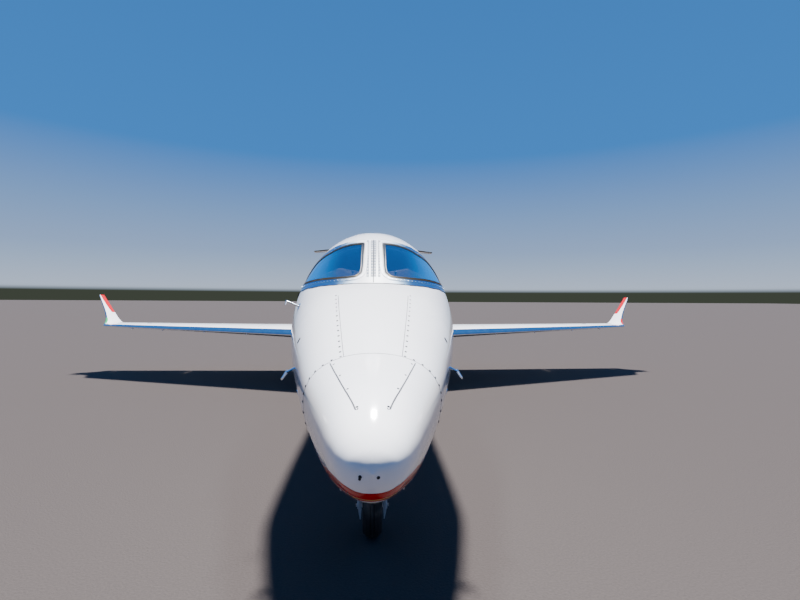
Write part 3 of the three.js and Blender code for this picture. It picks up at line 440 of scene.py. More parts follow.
whitePaint = paint("whitePaint", (0.86, 0.87, 0.91), (0.70, 0.71, 0.75))
redPaint = paint("redPaint", (0.44, 0.004, 0.004), (0.30, 0.004, 0.004), rough=0.2, coat=0.08, shine=0.25)
goldPaint = paint("goldPaint", (0.52, 0.33, 0.10), (0.36, 0.22, 0.07), rough=0.22)
gearPaint = paint("gearPaint", (0.52, 0.57, 0.63), (0.27, 0.27, 0.28), rough=0.28, coat=0.25)
panelLine = plastic("panelLine", (0.055, 0.058, 0.07), (0.10, 0.10, 0.12), rough=0.75, shine=0.2)
sealBlack = plastic("sealBlack", (0.012, 0.012, 0.014), (0.05, 0.05, 0.055), rough=0.42)
polished = metal("polished", (0.78, 0.85, 0.95), (0.60, 0.70, 0.86), rough=0.07)
bareMetal = metal("bareMetal", (0.72, 0.73, 0.75), (0.5, 0.5, 0.52), rough=0.2)
wheelMetal = metal("wheelMetal", (0.66, 0.68, 0.70), (0.36, 0.35, 0.34), rough=0.28, brush=(1, 1, 1))
fanMetal = metal("fanMetal", (0.42, 0.43, 0.46), (0.28, 0.28, 0.30), rough=0.24)
hotMetal = metal("hotMetal", (0.40, 0.33, 0.27), (0.17, 0.15, 0.15), rough=0.3)
chrome = metal("chrome", (0.85, 0.87, 0.9), (0.7, 0.72, 0.75), rough=0.03, depth=0.00001)
brightStud = metal("brightStud", (0.86, 0.88, 0.92), (0.6, 0.62, 0.66), rough=0.2)
washerGrey = plastic("washerGrey", (0.12, 0.12, 0.17), (0.18, 0.18, 0.24), rough=0.6, shine=0.2)
# bluish grey for the bands under the centre post's studs: partly their washers and partly the studs' painted shadows
stripGrey = paint("stripGrey", (0.30, 0.34, 0.42), (0.26, 0.29, 0.36), shine=0.3)
darkStud = plastic("darkStud", (0.02, 0.021, 0.028), (0.04, 0.04, 0.05), rough=0.8, shine=0.1)
trimPlastic = plastic("trimPlastic", (0.115, 0.105, 0.145), (0.17, 0.16, 0.20), rough=0.62)
darkTrim = plastic("darkTrim", (0.02, 0.021, 0.025), (0.06, 0.06, 0.065), rough=0.5)
liner = plastic("liner", (0.55, 0.50, 0.42), (0.47, 0.42, 0.35), rough=0.6, grain=700.0)
tyreRubber = plastic("tyreRubber", (0.022, 0.022, 0.023), (0.10, 0.095, 0.088), rough=0.85, grain=260.0, depth=0.0003)
carpet = plastic("carpet", (0.20, 0.17, 0.14), (0.27, 0.24, 0.20), rough=0.95, grain=900.0, depth=0.001)
leather = plastic("leather", (0.50, 0.40, 0.29), (0.38, 0.29, 0.20), rough=0.48, grain=520.0, depth=0.0004)


def framed(name, inner, outer, near, far, rough):
    # window framing: one colour beside the centre post that turns into another further out, where it is metal; on the
    # frame metal that outer blue is a painted reflection of the sky
    made = Finish(name)
    reach, cloud = abs(made.axis(0)).ramp(near, far), made.noise(9.0, 4.0)
    return made.set(Base_Color=made.mixed(reach, inner, outer), Metallic=reach,
                    Roughness=cloud * 0.1 + (rough - reach * 0.2))


# frame metal: pale beside the centre post, and further out a blue that is a painted reflection of the sky on the
# metal
frameMetal = framed("frameMetal", (0.72, 0.74, 0.80), (0.36, 0.66, 0.94), 0.1, 0.38, 0.36)
bronze = framed("bronze", (0.01, 0.01, 0.012), (0.42, 0.27, 0.12), 0.13, 0.17, 0.45)
# dark olive for the stabiliser's leading edge: painted shade, and a painted reflection of the dark ground below it
bootRubber = plastic("bootRubber", (0.035, 0.036, 0.028), (0.06, 0.06, 0.045), rough=0.6, shine=0.2)
glareCloth = plastic("glareCloth", (0.44, 0.41, 0.47), (0.50, 0.47, 0.52), rough=0.8, shine=0.2)
screenGlass = plastic("screenGlass", (0.008, 0.01, 0.014), (0.015, 0.017, 0.022), rough=0.16, depth=0.000005)


def tinted(name, base, edge, clear, gloss=1.5, tint=(1, 1, 1)):
    # bent acrylic or glass: see-through in the middle, denser and paler outwards where its colour is a painted
    # reflection of the sky, faint polishing haze
    made = Finish(name, IOR=gloss, Specular_Tint=shade(tint))
    outer = abs(made.axis(0)).ramp(0.28, 0.74)
    haze = made.noise(14.0, 5.0).ramp(0.4, 0.9)
    return made.set(Base_Color=made.mixed(outer, base, edge), Roughness=haze * 0.05 + 0.02,
                    Alpha=outer * clear[1] + haze * 0.04 + clear[0])


# windshield: the dark blue of the middle is partly the glass's own tint and partly a painted sky reflection; the
# paler blue outwards and the blue tint of its reflections are painted sky reflection
windshieldGlass = tinted("windshieldGlass", (0.001, 0.04, 0.15), (0.006, 0.17, 0.50), (0.57, 0.33), 1.72,
                         (0.25, 0.55, 1.0))
cabinGlass = tinted("cabinGlass", (0.02, 0.03, 0.04), (0.02, 0.03, 0.04), (0.7, 0.0))


def lens(name, colour):
    # ribbed lamp glass
    made = Finish(name, Coat_Weight=1.0, Emission_Color=shade(colour), Emission_Strength=0.2)
    ribs = made.noise(300.0, 1.0, (1, 0.05, 1))
    return made.set(Base_Color=made.mixed(ribs, colour, [c * 0.5 for c in colour]),
                    Roughness=ribs * 0.1 + 0.05, Normal=made.bump(ribs, 0.0004))


redLens, greenLens, clearLens = (lens(n, c) for n, c in (
    ("redLens", (0.6, 0.01, 0.01)), ("greenLens", (0.01, 0.4, 0.12)), ("clearLens", (0.75, 0.78, 0.8))))
print("finishes made")


# Body skin. Rows of station, crown, keel, half width, widest height, upper power, lower power:
# each section is |x / half| ^ power + |z / tall| ^ power = 1 above and below its widest height.
body = {
    "rows": np.array([
        [0, 1238, 1234, 2, 1236, 2, 2], [15, 1276, 1173, 56, 1236, 2, 2],
        [60, 1321, 1108, 112, 1237, 2, 2], [200, 1384, 1039, 180, 1235, 2.05, 2],
        [450, 1440, 938, 253, 1230, 2.1, 2.05], [800, 1486, 845, 343, 1221, 2.15, 2.1],
        [1200, 1540, 780, 446, 1226, 2.2, 2.1], [1700, 1702, 742, 573, 1302, 2.2, 2.15],
        [2300, 1973, 722, 719, 1420, 2.15, 2.2], [3050, 2505, 720, 845, 1515, 2.1, 2.2],
        [3700, 2680, 720, 860, 1576, 2.1, 2.2], [4600, 2715, 720, 865, 1632, 2.1, 2.2],
        [10000, 2715, 720, 865, 1632, 2.1, 2.2], [11400, 2712, 800, 835, 1680, 2.1, 2.2],
        [12600, 2700, 980, 745, 1780, 2.1, 2.2], [13800, 2672, 1280, 590, 1930, 2.1, 2.1],
        [15000, 2610, 1690, 390, 2120, 2, 2], [15900, 2525, 2110, 190, 2310, 2, 2],
        [16120, 2440, 2240, 90, 2340, 2, 2]]),
    "wall": 0.06, "ringStep": 0.045, "seam": 0.0015, "room": (2.37, 9.9),
    "radomeEnd": 1.2, "noseEnd": 2.3, "cabinEnd": 10.0, "tailEnd": 16.12,
}
bodyCurves = [steadyCurve(body["rows"][:, 0] / 1000, body["rows"][:, k] / (1000 if k < 5 else 1))
              for k in range(1, 7)]


def squircle(across, up, power):
    # how far a superellipse reaches in a direction
    return (np.abs(across) ** power + np.abs(up) ** power) ** (-1 / power)


def spread(*values):
    # numbers and lists of numbers as arrays of one length
    return np.broadcast_arrays(*(np.asarray(v, float) for v in values))


def hull(degrees, station, depth=0.0):
    # a point of the skin at an angle round from the crown, sunk by a depth
    degrees, station = spread(degrees, station)
    crown, keel, half, widest, upper, lower = (c(station) for c in bodyCurves)
    across, up = np.sin(np.radians(degrees)), np.cos(np.radians(degrees))
    tall = np.where(up >= 0, crown - widest, widest - keel)
    reach = squircle(across, up, np.where(up >= 0, upper, lower))
    return np.stack([np.maximum(half - depth, 0.001) * across * reach, station + noseTip,
                     widest + np.maximum(tall - depth, 0.001) * up * reach], -1)


def hullNormal(degrees, station):
    degrees, station = spread(degrees, station)
    along = hull(degrees, station + 1e-3) - hull(degrees, np.maximum(station - 1e-3, 1e-4))
    normal = np.cross(hull(degrees + 0.05, station) - hull(degrees - 0.05, station), along)
    return normal / np.maximum(np.linalg.norm(normal, axis=-1, keepdims=True), 1e-12)


def skinPlace(points):
    # the skin's angle and station beside any point: the angle follows from the section's own proportions
    station = np.clip(points[:, 1] - noseTip, 0.002, body["tailEnd"] - 0.002)
    crown, keel, half, widest = (c(station) for c in bodyCurves[:4])
    rise = points[:, 2] - widest
    tall = np.where(rise >= 0, crown - widest, widest - keel)
    return np.degrees(np.arctan2(points[:, 0] / half, rise / tall)), station


def degreesAt(station, height):
    # the angle at which the +X side of the skin is this high
    crown, keel, half, widest, upper, lower = (c(np.asarray(station, float)) for c in bodyCurves)
    rise = height - widest
    power = np.where(rise >= 0, upper, lower)
    share = np.clip(rise / np.where(rise >= 0, crown - widest, widest - keel), -1, 1)
    return np.degrees(np.arctan2((1 - np.abs(share) ** power) ** (1 / power), share))


def skinOut(station, height, depth=0.0):
    # how far out the skin is at a height
    return float(hull(degreesAt(station, height), station, depth)[0])


skinStations = np.unique(np.concatenate([
    [0, 0.004, 0.009, 0.015, 0.022, 0.03, 0.04, 0.052, 0.067, 0.085, 0.105, 0.13, 0.16, 0.2],
    np.arange(0.2, 1.2, 0.02), np.arange(1.2, body["tailEnd"], body["ringStep"])]))


def hullBody(start, end, depth=0.0, sides=120):
    between = skinStations[(skinStations > start + 0.002) & (skinStations < end - 0.01)]
    turn = np.linspace(0, 360, sides, endpoint=False)
    return loft(hull(turn, np.array([start, *between, end])[:, None], depth))


# Closed outlines on the skin, in degrees and stations. On the flattened skin a degree is 14 mm.
flatScale = 0.014


def smoothOutline(corners, blur, count):
    # a polygon walked at even steps, its corners rounded by a circular blur
    loop = np.vstack([corners, corners[:1]]) * [flatScale, 1]
    walk = walked(loop)
    steps = np.linspace(0, walk[-1], count, endpoint=False)
    path = np.interp(steps, walk, loop[:, 0]) + 1j * np.interp(steps, walk, loop[:, 1])
    waves = np.fft.fftfreq(count, walk[-1] / count) * 2 * math.pi
    path = np.fft.ifft(np.fft.fft(path) * np.exp(-(waves * blur) ** 2 / 2))
    return np.stack([path.real / flatScale, path.imag], -1)


def grown(outline, out):
    # an outline moved outwards by a distance
    flat = outline * [flatScale, 1]
    after = np.roll(flat, -1, 0)
    ahead = after - np.roll(flat, 1, 0)
    normal = unit(np.stack([ahead[:, 1], -ahead[:, 0]], -1))
    area = (flat[:, 0] * after[:, 1] - after[:, 0] * flat[:, 1]).sum()
    return (flat + normal * out * np.sign(area)) / [flatScale, 1]


def sideOutline(start, end, low, high, rounding, count=200):
    # a rounded rectangle in side view, carried to the skin: a superellipse-cornered loop
    spoke = np.stack(circle(count), -1)
    reach = np.array([end - start, high - low]) / 2 - rounding
    loop = np.clip(spoke * 9, -1, 1) * reach + spoke * rounding + [(start + end) / 2, (low + high) / 2]
    return np.stack([degreesAt(loop[:, 0], loop[:, 1]), loop[:, 0]], -1)


def plug(outline, outer, inner, steps=12, tone=0):
    # a closed slab on the skin inside an outline, between two depths
    centre = outline.mean(0)
    share = np.linspace(0, 1, steps + 1)[1:] ** 0.8
    nested = centre + (outline - centre)[None] * share[:, None, None]
    layers = [hull(nested[..., 0], nested[..., 1], depth) for depth in (inner, outer)]
    return loft(np.concatenate([layers[0], layers[1][::-1]]), tone,
                first=hull(centre[0], centre[1], inner), last=hull(centre[0], centre[1], outer))


def bead(outline, profile):
    # a moulding carried round an outline: rows of distance outwards and height over the skin
    return torus(np.stack([hull(*grown(outline, out).T, -up) for out, up in profile], 1))


def dome(half, height, sink):
    # a low rounded profile for a bead
    turn = np.linspace(0, math.pi, 6)
    top = np.stack([np.cos(turn) * half, np.sin(turn) ** 0.7 * height], -1)
    return np.vstack([top, [[-half, -sink], [half, -sink]]])


def strip(middle, normal, width, lift=0.0006, sink=0.002):
    # a thin line painted or laid along a surface
    side = unit(np.cross(np.gradient(middle, axis=0), normal)) * width / 2
    return loft(np.stack([middle + side + normal * lift, middle - side + normal * lift,
                          middle - side - normal * sink, middle + side - normal * sink], 1))


def ribbon(degrees, station, width, lift=0.0006):
    # a strip along the skin
    return strip(hull(degrees, station), hullNormal(degrees, station), width, lift)


def skinStuds(degrees, station, radius, height, sides=10, lift=0.0):
    # domes on the skin
    return studs(hull(degrees, station, -lift), hullNormal(degrees, station), radius, height, sides)


# Windshield: pane and frame outlines in degrees from the crown and stations
windshield = {
    "pane": [[7.2, 2.62], [8.2, 2.53], [12.3, 2.487], [19, 2.497], [27.5, 2.537], [34.5, 2.59], [41, 2.655],
             [47, 2.73], [53, 2.835], [58, 2.97], [63, 3.33], [46, 3.26], [32, 3.07], [19, 3.03], [6.5, 2.985]],
    "frame": [[0, 2.393], [9, 2.399], [18, 2.417], [27.5, 2.453], [35, 2.508], [46, 2.617], [57, 2.8], [64.5, 3.02],
              [69, 3.42], [44, 3.39], [29, 3.17], [18, 3.118], [8, 3.108], [0, 3.1]],
    "blur": 0.016, "depth": 0.05, "proud": 0.003,
}
frameHalf = windshield["frame"][1:-1]
frameLoop = windshield["frame"] + [[-d, s] for d, s in frameHalf[::-1]]
paneOutline = smoothOutline(windshield["pane"], windshield["blur"], 320)
frameOutline = smoothOutline(frameLoop, 0.03, 480)

# Cabin windows and the door
windows = {"stations": [4.95, 5.69, 6.43, 7.17, 7.91, 8.65], "exit": 4.07, "height": 2.04,
           "wide": 0.30, "tall": 0.40, "rounding": 0.13}
door = {"from": 3.7, "to": 4.44, "sill": 1.152, "split": 1.72, "top": 2.49, "rounding": 0.12, "gap": 0.012,
        "paintDeep": 0.05, "knuckles": (3.83, 4.31), "knuckleHalf": 0.034, "knuckleRadius": 0.0165}


def windowOutline(station, grow=0.0):
    wide, tall = windows["wide"] / 2 + grow, windows["tall"] / 2 + grow
    return sideOutline(station - wide, station + wide, windows["height"] - tall,
                       windows["height"] + tall, windows["rounding"] + grow, 96)


# Skins
wall = body["wall"]
piece("radomeSkin", hullBody(0, body["radomeEnd"] - body["seam"]), whitePaint, replaces="radome", slot="white_paint",
      onHull=True)

gearWell = {"from": 1.4, "to": 2.23, "half": 0.165, "top": 1.09}
wellCut = roundedBox([-gearWell["half"], gearWell["from"] + noseTip, 0.4],
                     [gearWell["half"], gearWell["to"] + noseTip, gearWell["top"]], 0.02, tone=1)
noseSkin = combine(hullBody(body["radomeEnd"] + body["seam"], body["noseEnd"]), [wellCut])
piece("noseSkin", noseSkin, [whitePaint, bareMetal], replaces="nose_section", slot="white_paint", onHull=True)

doorOutline = sideOutline(door["from"], door["to"], door["sill"], door["top"], door["rounding"])
cabinTube = combine(hullBody(body["noseEnd"], body["cabinEnd"]), [hullBody(*body["room"], wall, 72).toned(1)])
through = (-0.1, 0.2)  # depths of a cut that goes right through the wall
openings = [plug(frameOutline, *through), plug(doorOutline, *through, tone=2)]
for station in windows["stations"]:
    hole = plug(windowOutline(station), *through, 6, tone=2)
    openings += [hole, hole.mirrored()]
openings.append(plug(windowOutline(windows["exit"]), *through, 6, tone=2).mirrored())
piece("cabinSkin", combine(cabinTube, openings), [whitePaint, liner, sealBlack], replaces="cabin_shell",
      slot="white_paint", onHull=True)
piece("tailSkin", hullBody(body["cabinEnd"], body["tailEnd"]), whitePaint, replaces="tail_cone", slot="white_paint",
      onHull=True)
print("body skin done")

# Windshield frame, panes, seals and their fasteners. Beads lie a distance outside the pane's edge.
frameLayer = plug(grown(frameOutline, -0.0015), -windshield["proud"], windshield["depth"], 30)
paneCut = plug(paneOutline, *through)
piece("windshieldFrame", combine(frameLayer, [paneCut, paneCut.mirrored()]), frameMetal,
      replaces="windshield_frame", slot="polished_metal", onHull=True)
pair("windshieldPane", plug(grown(paneOutline, -0.0005), 0.004, 0.02, 24), windshieldGlass,
     replaces="windshield_{side}", slot="window_glass", onHull=True)
for name, out, profile, finish in (
        ("Seals", 0, dome(0.008, 0.0045, 0.012), sealBlack),
        ("Bond", -0.012, [(0.012, -0.021), (-0.012, -0.021), (-0.012, -0.03), (0.012, -0.03)], sealBlack),
        ("Trim", -0.014, dome(0.002, 0.0062, 0.012), bronze), ("Lip", -0.022, dome(0.004, 0.002, 0.012), sealBlack),
        ("Retainers", 0.024, [(0.015, 0.0032), (0.0135, 0.0062), (-0.0135, 0.0062), (-0.015, 0.0032), (-0.015, 0),
                              (0.015, 0)], frameMetal)):
    piece("windshield" + name, bead(grown(paneOutline, out), profile).both(), finish)
piece("windshieldEdge", bead(grown(frameOutline, -0.001), dome(0.003, 0.0036, 0.006)), panelLine)


def onSkin(outline, every, lift):
    # points at even steps along an outline on the skin, with their normals
    flat = np.vstack([outline, outline[:1]]) * [flatScale, 1]
    walk = walked(flat)
    steps = np.linspace(0, walk[-1], int(walk[-1] / every), endpoint=False)
    degrees, station = np.interp(steps, walk, flat[:, 0]) / flatScale, np.interp(steps, walk, flat[:, 1])
    return hull(degrees, station, -lift), hullNormal(degrees, station)


post = {"rows": [1.1, 4.05], "studs": np.arange(2.5, 3.06, 0.038), "strips": np.linspace(2.48, 3.07, 40)}
paneStuds = studs(*onSkin(grown(paneOutline, 0.024), 0.042, 0.0062), 0.0042, 0.0014)
postStuds = skinStuds(*(grid.ravel() for grid in np.meshgrid(post["rows"], post["studs"])), 0.0085, 0.0026, 8, 0.0045)
# grey bands under the post's studs: washers together with painted shadows of the studs
postStrips = together(ribbon(degrees, post["strips"], 0.023, 0.0034) for degrees in post["rows"])
piece("windshieldStuds", paneStuds.both(), brightStud)
piece("postStuds", postStuds.both(), whitePaint)
piece("postStrips", postStrips.both(), stripGrey)
piece("windshieldSeam", ribbon(0, np.linspace(2.405, 3.085, 40), 0.009, 0.0036), panelLine)
print("windshield done")

# Wings, tail and pylons: blades of foil sections. Rows hold the distance out, or the height of an
# upright blade, then nose station, chord, thickness share, height and lean in degrees.
wing = {
    "rows": [[0.5, 7.44, 3.05, 0.105, 1.08, 0], [2.6, 8.186, 2.31, 0.1, 1.112, 0],
             [4.9, 9.002, 1.59, 0.095, 1.146, 0], [6.64, 9.62, 1.03, 0.09, 1.176, 0]],
    "tip": [[6.64, 9.62, 1.03, 0.09, 1.176, 0], [6.71, 9.73, 0.915, 0.09, 1.19, 25],
            [6.755, 9.85, 0.785, 0.085, 1.215, 44], [6.785, 9.95, 0.67, 0.08, 1.255, 53],
            [6.82, 10.03, 0.57, 0.08, 1.31, 56], [7.25, 10.48, 0.205, 0.075, 1.935, 56]],
    "camber": 0.012, "lead": 0.075, "fences": [2.8, 3.85, 4.95, 5.8],
}
flap = {"from": 1.15, "to": 4.6, "hinge": 0.72, "swing": 40, "downOnly": True}
aileron = {"from": 4.65, "to": 6.48, "hinge": 0.74, "swing": 18}
elevator = {"from": 0.23, "to": 2.37, "hinge": 0.68, "swing": 20}
rudder = {"from": 2.78, "to": 3.68, "hinge": 0.7, "swing": 25, "endGap": 0.032, "pinReach": 0.062}
fin = {
    "rows": [[2.45, 13.0, 2.98, 0.095, 0, 0], [3.15, 13.95, 2.38, 0.095, 0, 0], [3.9, 14.98, 1.7, 0.09, 0, 0]],
    "dorsal": [[2.56, 11.6, 2.6, 0.045, 0, 0], [2.79, 12.75, 1.7, 0.055, 0, 0], [3.08, 13.7, 0.9, 0.06, 0, 0]],
    "lead": 0.05, "dorsalLead": 0.03,
}
stabilizer = {"rows": [[0, 15.45, 1.3, 0.095, 3.93, 0], [2.45, 16.65, 0.75, 0.09, 3.802, 0]], "lead": 0.06}
bullet = {"from": 15.05, "to": 17.18, "radius": 0.12, "height": 3.925}
hingeFit = {"nose": 0.95, "clear": 0.007, "pin": 0.009, "bore": 0.0096, "endGap": 0.012, "pinReach": 0.022}


def foilHalf(u):
    # half thickness of a symmetric section, as a share of the full one
    return 5 * (0.2969 * np.sqrt(u) - 0.126 * u - 0.3516 * u ** 2 + 0.2843 * u ** 3 - 0.1015 * u ** 4)


def rowsAt(rows, outs):
    rows = np.asarray(rows, float)
    return np.stack([np.interp(outs, rows[:, 0], rows[:, k]) for k in range(rows.shape[1])], -1)


def bladePoint(row, u, side, camber=0.0, lift=0.0, upright=False):
    # a point on a blade's skin: row of the section, share of the chord, upper (1) or lower (-1) side
    out, nose, chord, thick, height, lean = np.moveaxis(np.asarray(row, float), -1, 0)
    up = chord * (side * thick * foilHalf(u) + 4 * camber * u * (1 - u)) + side * lift
    along, lean = nose + u * chord + noseTip, np.radians(lean)
    out, up, along, height = np.broadcast_arrays(out - up * np.sin(lean), up * np.cos(lean), along, height)
    return np.stack([up, along, out] if upright else [out, along, height + up], -1)


def bothFaces(u):
    # shares of the chord along the upper face and back along the lower one, with their sides
    return np.concatenate([u, u[::-1][1:]]), np.repeat([1, -1], [len(u), len(u) - 1])


def blade(rows, camber=0.0, upright=False, lead=None, steps=26):
    # lofted sections; a bright leading edge takes tone 2 up to some share of the chord
    u = (1 + np.cos(np.linspace(0, math.pi, steps))) / 2
    if lead:
        u[np.abs(u - lead).argmin()] = lead
    share, side = bothFaces(u)
    shape = loft([bladePoint(row, share, side, camber, upright=upright) for row in rows])
    if lead:
        front = (share + np.roll(share, -1)) / 2 < lead
        shape.tones[0] = np.tile(np.where(front, 2, 0), len(rows) - 1)
    return shape


def hingeBar(line, radii, extra):
    run = unit(line[1] - line[0])
    return tube([line[0] - run * extra, line[1] + run * extra], radii, 28)


def besideHinge(line, margin, front, back, low, high, upright=False):
    # a block along a hinge line, from some way ahead of it to some way behind
    span = line[1] - line[0]
    stretch = span * margin / span[2 if upright else 0]
    side = np.array([1.0, 0, 0] if upright else [0, 0, 1.0])
    return loft([[end + side * up + [0, along, 0] for along, up in
                  ((front, low), (back, low), (back, high), (front, high))]
                 for end in (line[0] - stretch, line[1] + stretch)])


def splitSurface(whole, rows, spec, camber=0.0, upright=False):
    # the cuts that leave the cove in the blade, and the moving part with its round nose and hinge pins
    ends, share = rowsAt(rows, [spec["from"], spec["to"]]), spec["hinge"]
    line = np.stack([bladePoint(row, share, 0, camber, upright=upright) for row in ends])
    radii = ends[:, 2] * ends[:, 3] * foilHalf(share) * hingeFit["nose"]
    gap, reach = spec.get("endGap", hingeFit["endGap"]), spec.get("pinReach", hingeFit["pinReach"])
    swept = radii / hingeFit["nose"] / math.cos(math.radians(spec["swing"])) + hingeFit["clear"]
    sweep = hingeBar(line, swept, gap)
    if spec.get("downOnly"):
        sweep = combine(sweep, [besideHinge(line, 2 * gap, -0.4, 0.4, -0.4, 0)], "INTERSECT")
    cuts = [besideHinge(line, gap, 0, 9, -0.4, 0.4, upright), hingeBar(line, radii + hingeFit["clear"], gap),
            sweep, hingeBar(line, hingeFit["bore"], reach + 0.001)]
    moving = combine(whole, [besideHinge(line, 0, 0, 9, -0.4, 0.4, upright)], "INTERSECT")
    nose = [hingeBar(line, radii, -0.006), hingeBar(line, hingeFit["pin"], reach).toned(1)]
    return [cut.toned(1) for cut in cuts], combine(moving, nose, "UNION")


skins = [whitePaint, darkTrim, polished]
wingFine = rowsAt(wing["rows"], [0.5, 1.4, 2.6, 3.75, 4.9, 5.8, 6.64])
wingWhole = blade(wingFine, wing["camber"], lead=wing["lead"])
flapCuts, flapShape = splitSurface(wingWhole, wing["rows"], flap, wing["camber"])
aileronCuts, aileronShape = splitSurface(wingWhole, wing["rows"], aileron, wing["camber"])
pair("wingSkin", combine(wingWhole, flapCuts + aileronCuts), skins, replaces="wing_{side}", slot="white_paint",
     sharp=30)
pair("flapSkin", flapShape, skins, "{side}_flap", "flap_{side}", slot="white_paint", sharp=30)
pair("aileronSkin", aileronShape, skins, "{side}_aileron", "aileron_{side}", slot="white_paint", sharp=30)
wingletRows = curve(wing["tip"], 40, [0, 4])
winglet = blade(wingletRows, wing["camber"], lead=wing["lead"])
pair("wingletSkin", winglet, skins, replaces="winglet_{side}", slot="white_paint", sharp=40)


def bladePatch(rows, starts, camber, lift=0.0006, sink=0.002, steps=12):
    # a coat of paint wrapped round the back of a blade, from a share of the chord that may vary
    rings = []
    for row, start in zip(rows, starts):
        u = np.linspace(start, 0.999, steps)
        share, side = np.concatenate([u, u[::-1]]), np.repeat([1, -1], steps)
        rings.append(np.concatenate([bladePoint(row, share, side, camber, lift),
                                     bladePoint(row, share, side, camber, -sink)[::-1]]))
    return loft(rings)


redFrom = {"row": 17, "shares": (0.62, 0.16)}
redRows = wingletRows[redFrom["row"]:]
pair("wingletRed", bladePatch(redRows, np.linspace(*redFrom["shares"], len(redRows)), wing["camber"]), redPaint)
print("wings done")


def onBlade(rows, outs, shares, side, camber=0.0, upright=False, count=40):
    # points and normals on a blade between two distances out and two shares of the chord
    sections, share = rowsAt(rows, np.linspace(*outs, count)), np.linspace(*shares, count)
    middle = bladePoint(sections, share, side, camber, upright=upright)
    return middle, np.tile([side, 0.0, 0.0] if upright else [0.0, 0.0, side], (count, 1))


def bladeMarks(rows, spans, ribs, across, camber=0.0, upright=False, every=0.045):
    # panel lines along and across both faces of a blade, with a rivet every so often behind them
    runs = [(across, (share, share)) for share in spans] + [((out, out), (spans[0], spans[-1])) for out in ribs]
    faces = [(run, side) for run in runs for side in (1, -1)]
    lines = together(strip(*onBlade(rows, *run, side, camber, upright), 0.0035, 0.0005) for run, side in faces)
    dots = []
    for run, side in faces:
        length = np.ptp(run[0]) or np.ptp(run[1]) * 1.6
        places, normals = onBlade(rows, *run, side, camber, upright, int(length / every) + 2)
        dots.append(studs(places + [0, 0.012, 0], normals, 0.0022, 0.0004, 5))
    return lines, together(dots)


def trailers(rows, outs, camber=0.0, upright=False):
    # static wicks behind a blade's back edge
    ends = [bladePoint(rowsAt(rows, [out])[0], 0.99, 0, camber, upright=upright) for out in outs]
    return together(tube([end - [0, 0.02, 0], end + [0, 0.04, 0], end + [0, 0.11, 0]], [0.0045, 0.003, 0.0015], 8)
                    for end in ends)


def edgeCap(rows, reach, camber, lift=0.003):
    # a lamp glass over a blade's leading edge, sinking into it at both ends
    u = reach * np.linspace(1, 0, 9) ** 2
    share, side = bothFaces(u)
    rings = []
    for n, row in enumerate(rows):
        swell = lift * (2 * math.sin(math.pi * (n + 0.5) / len(rows)) - 1)
        rings.append(bladePoint(row, share, side, camber, swell) - (1 - share / reach)[:, None] * [0, swell, 0])
    return loft(rings)


wingLines, wingRivets = bladeMarks(wing["rows"], (0.13, 0.38, 0.62), (1.6, 2.6, 3.8, 4.9, 5.9), (1.02, 6.6),
                                   wing["camber"])
fuelSpot = onBlade(wing["rows"], (5.55, 5.55), (0.3, 0.3), 1, wing["camber"], count=1)
pair("wingLines", wingLines, panelLine)
pair("wingRivets", wingRivets, bareMetal)
pair("fuelCap", studs(*fuelSpot, 0.055, 0.003, 24), bareMetal)
fenceSide = np.array([[-0.04, -0.05], [0.19, -0.02], [0.19, 0.01], [0.03, 0.005]])
fenceLoop = smoothOutline(fenceSide / [flatScale, 1], 0.004, 60) * [flatScale, 1]
fences = []
for out in wing["fences"]:
    front, chord, height = rowsAt(wing["rows"], [out])[0][[1, 2, 4]]
    foot = [out, front + 0.01 * chord + noseTip, height]
    fences.append(loft([np.insert(fenceSide.mean(0) + (fenceLoop - fenceSide.mean(0)) * grow, 0, x, 1) + foot
                        for grow, x in ((0.9, -0.007), (1, -0.004), (1, 0.004), (0.9, 0.007))]))
pair("wingFences", together(fences), whitePaint)
pair("aileronWicks", trailers(wing["rows"], (4.95, 5.6, 6.3), wing["camber"]), darkTrim, "{side}_aileron")
lamp = edgeCap(wingletRows[3:13], 0.09, wing["camber"])
piece("wingLampLeft", lamp, redLens)
piece("wingLampRight", lamp.mirrored(), greenLens)

# Tail
stabWhole = blade(rowsAt(stabilizer["rows"], [0, 0.8, 1.6, 2.45]), lead=stabilizer["lead"])
elevatorCuts, elevatorShape = splitSurface(stabWhole, stabilizer["rows"], elevator)
bulletProfile = curve([[0, 0], [0.054, 0.06], [0.096, 0.24], [0.12, 0.6], [0.12, 1.2], [0.084, 1.63],
                       [0.024, 2.13], [0, 2.135]], 40)
bulletShape = lathe(bulletProfile, (0, bullet["from"] + noseTip, bullet["height"]), sides=48)
piece("tailPlane", combine(stabWhole, elevatorCuts).both() + bulletShape, [whitePaint, darkTrim, bootRubber],
      replaces="stabilizer", slot="white_paint", sharp=30)
pair("elevatorSkin", elevatorShape, skins, "{side}_elevator", "elevator_{side}", slot="white_paint", sharp=30)
finWhole = combine(blade(rowsAt(fin["rows"], [2.45, 2.8, 3.15, 3.5, 3.9]), upright=True, lead=fin["lead"]),
                   [blade(curve(fin["dorsal"], 12, [0, 1]), upright=True, lead=fin["dorsalLead"])], "UNION")
rudderCuts, rudderShape = splitSurface(finWhole, fin["rows"], rudder, upright=True)
piece("finSkin", combine(finWhole, rudderCuts), skins, replaces="fin", slot="white_paint", sharp=30)
piece("rudderSkin", rudderShape, skins, "rudder", "rudder", slot="white_paint", sharp=30)
tailLines, tailRivets = bladeMarks(stabilizer["rows"], (0.12, 0.58), (0.35, 1.1, 1.8), (0.2, 2.4))
finLines, finRivets = bladeMarks(fin["rows"], (0.12, 0.6), (2.9, 3.4, 3.75), (2.8, 3.78), upright=True)
piece("tailLines", tailLines.both() + finLines, panelLine)
piece("tailRivets", tailRivets.both() + finRivets, bareMetal)
pair("elevatorWicks", trailers(stabilizer["rows"], (1.2, 1.75, 2.3)), darkTrim, "{side}_elevator")
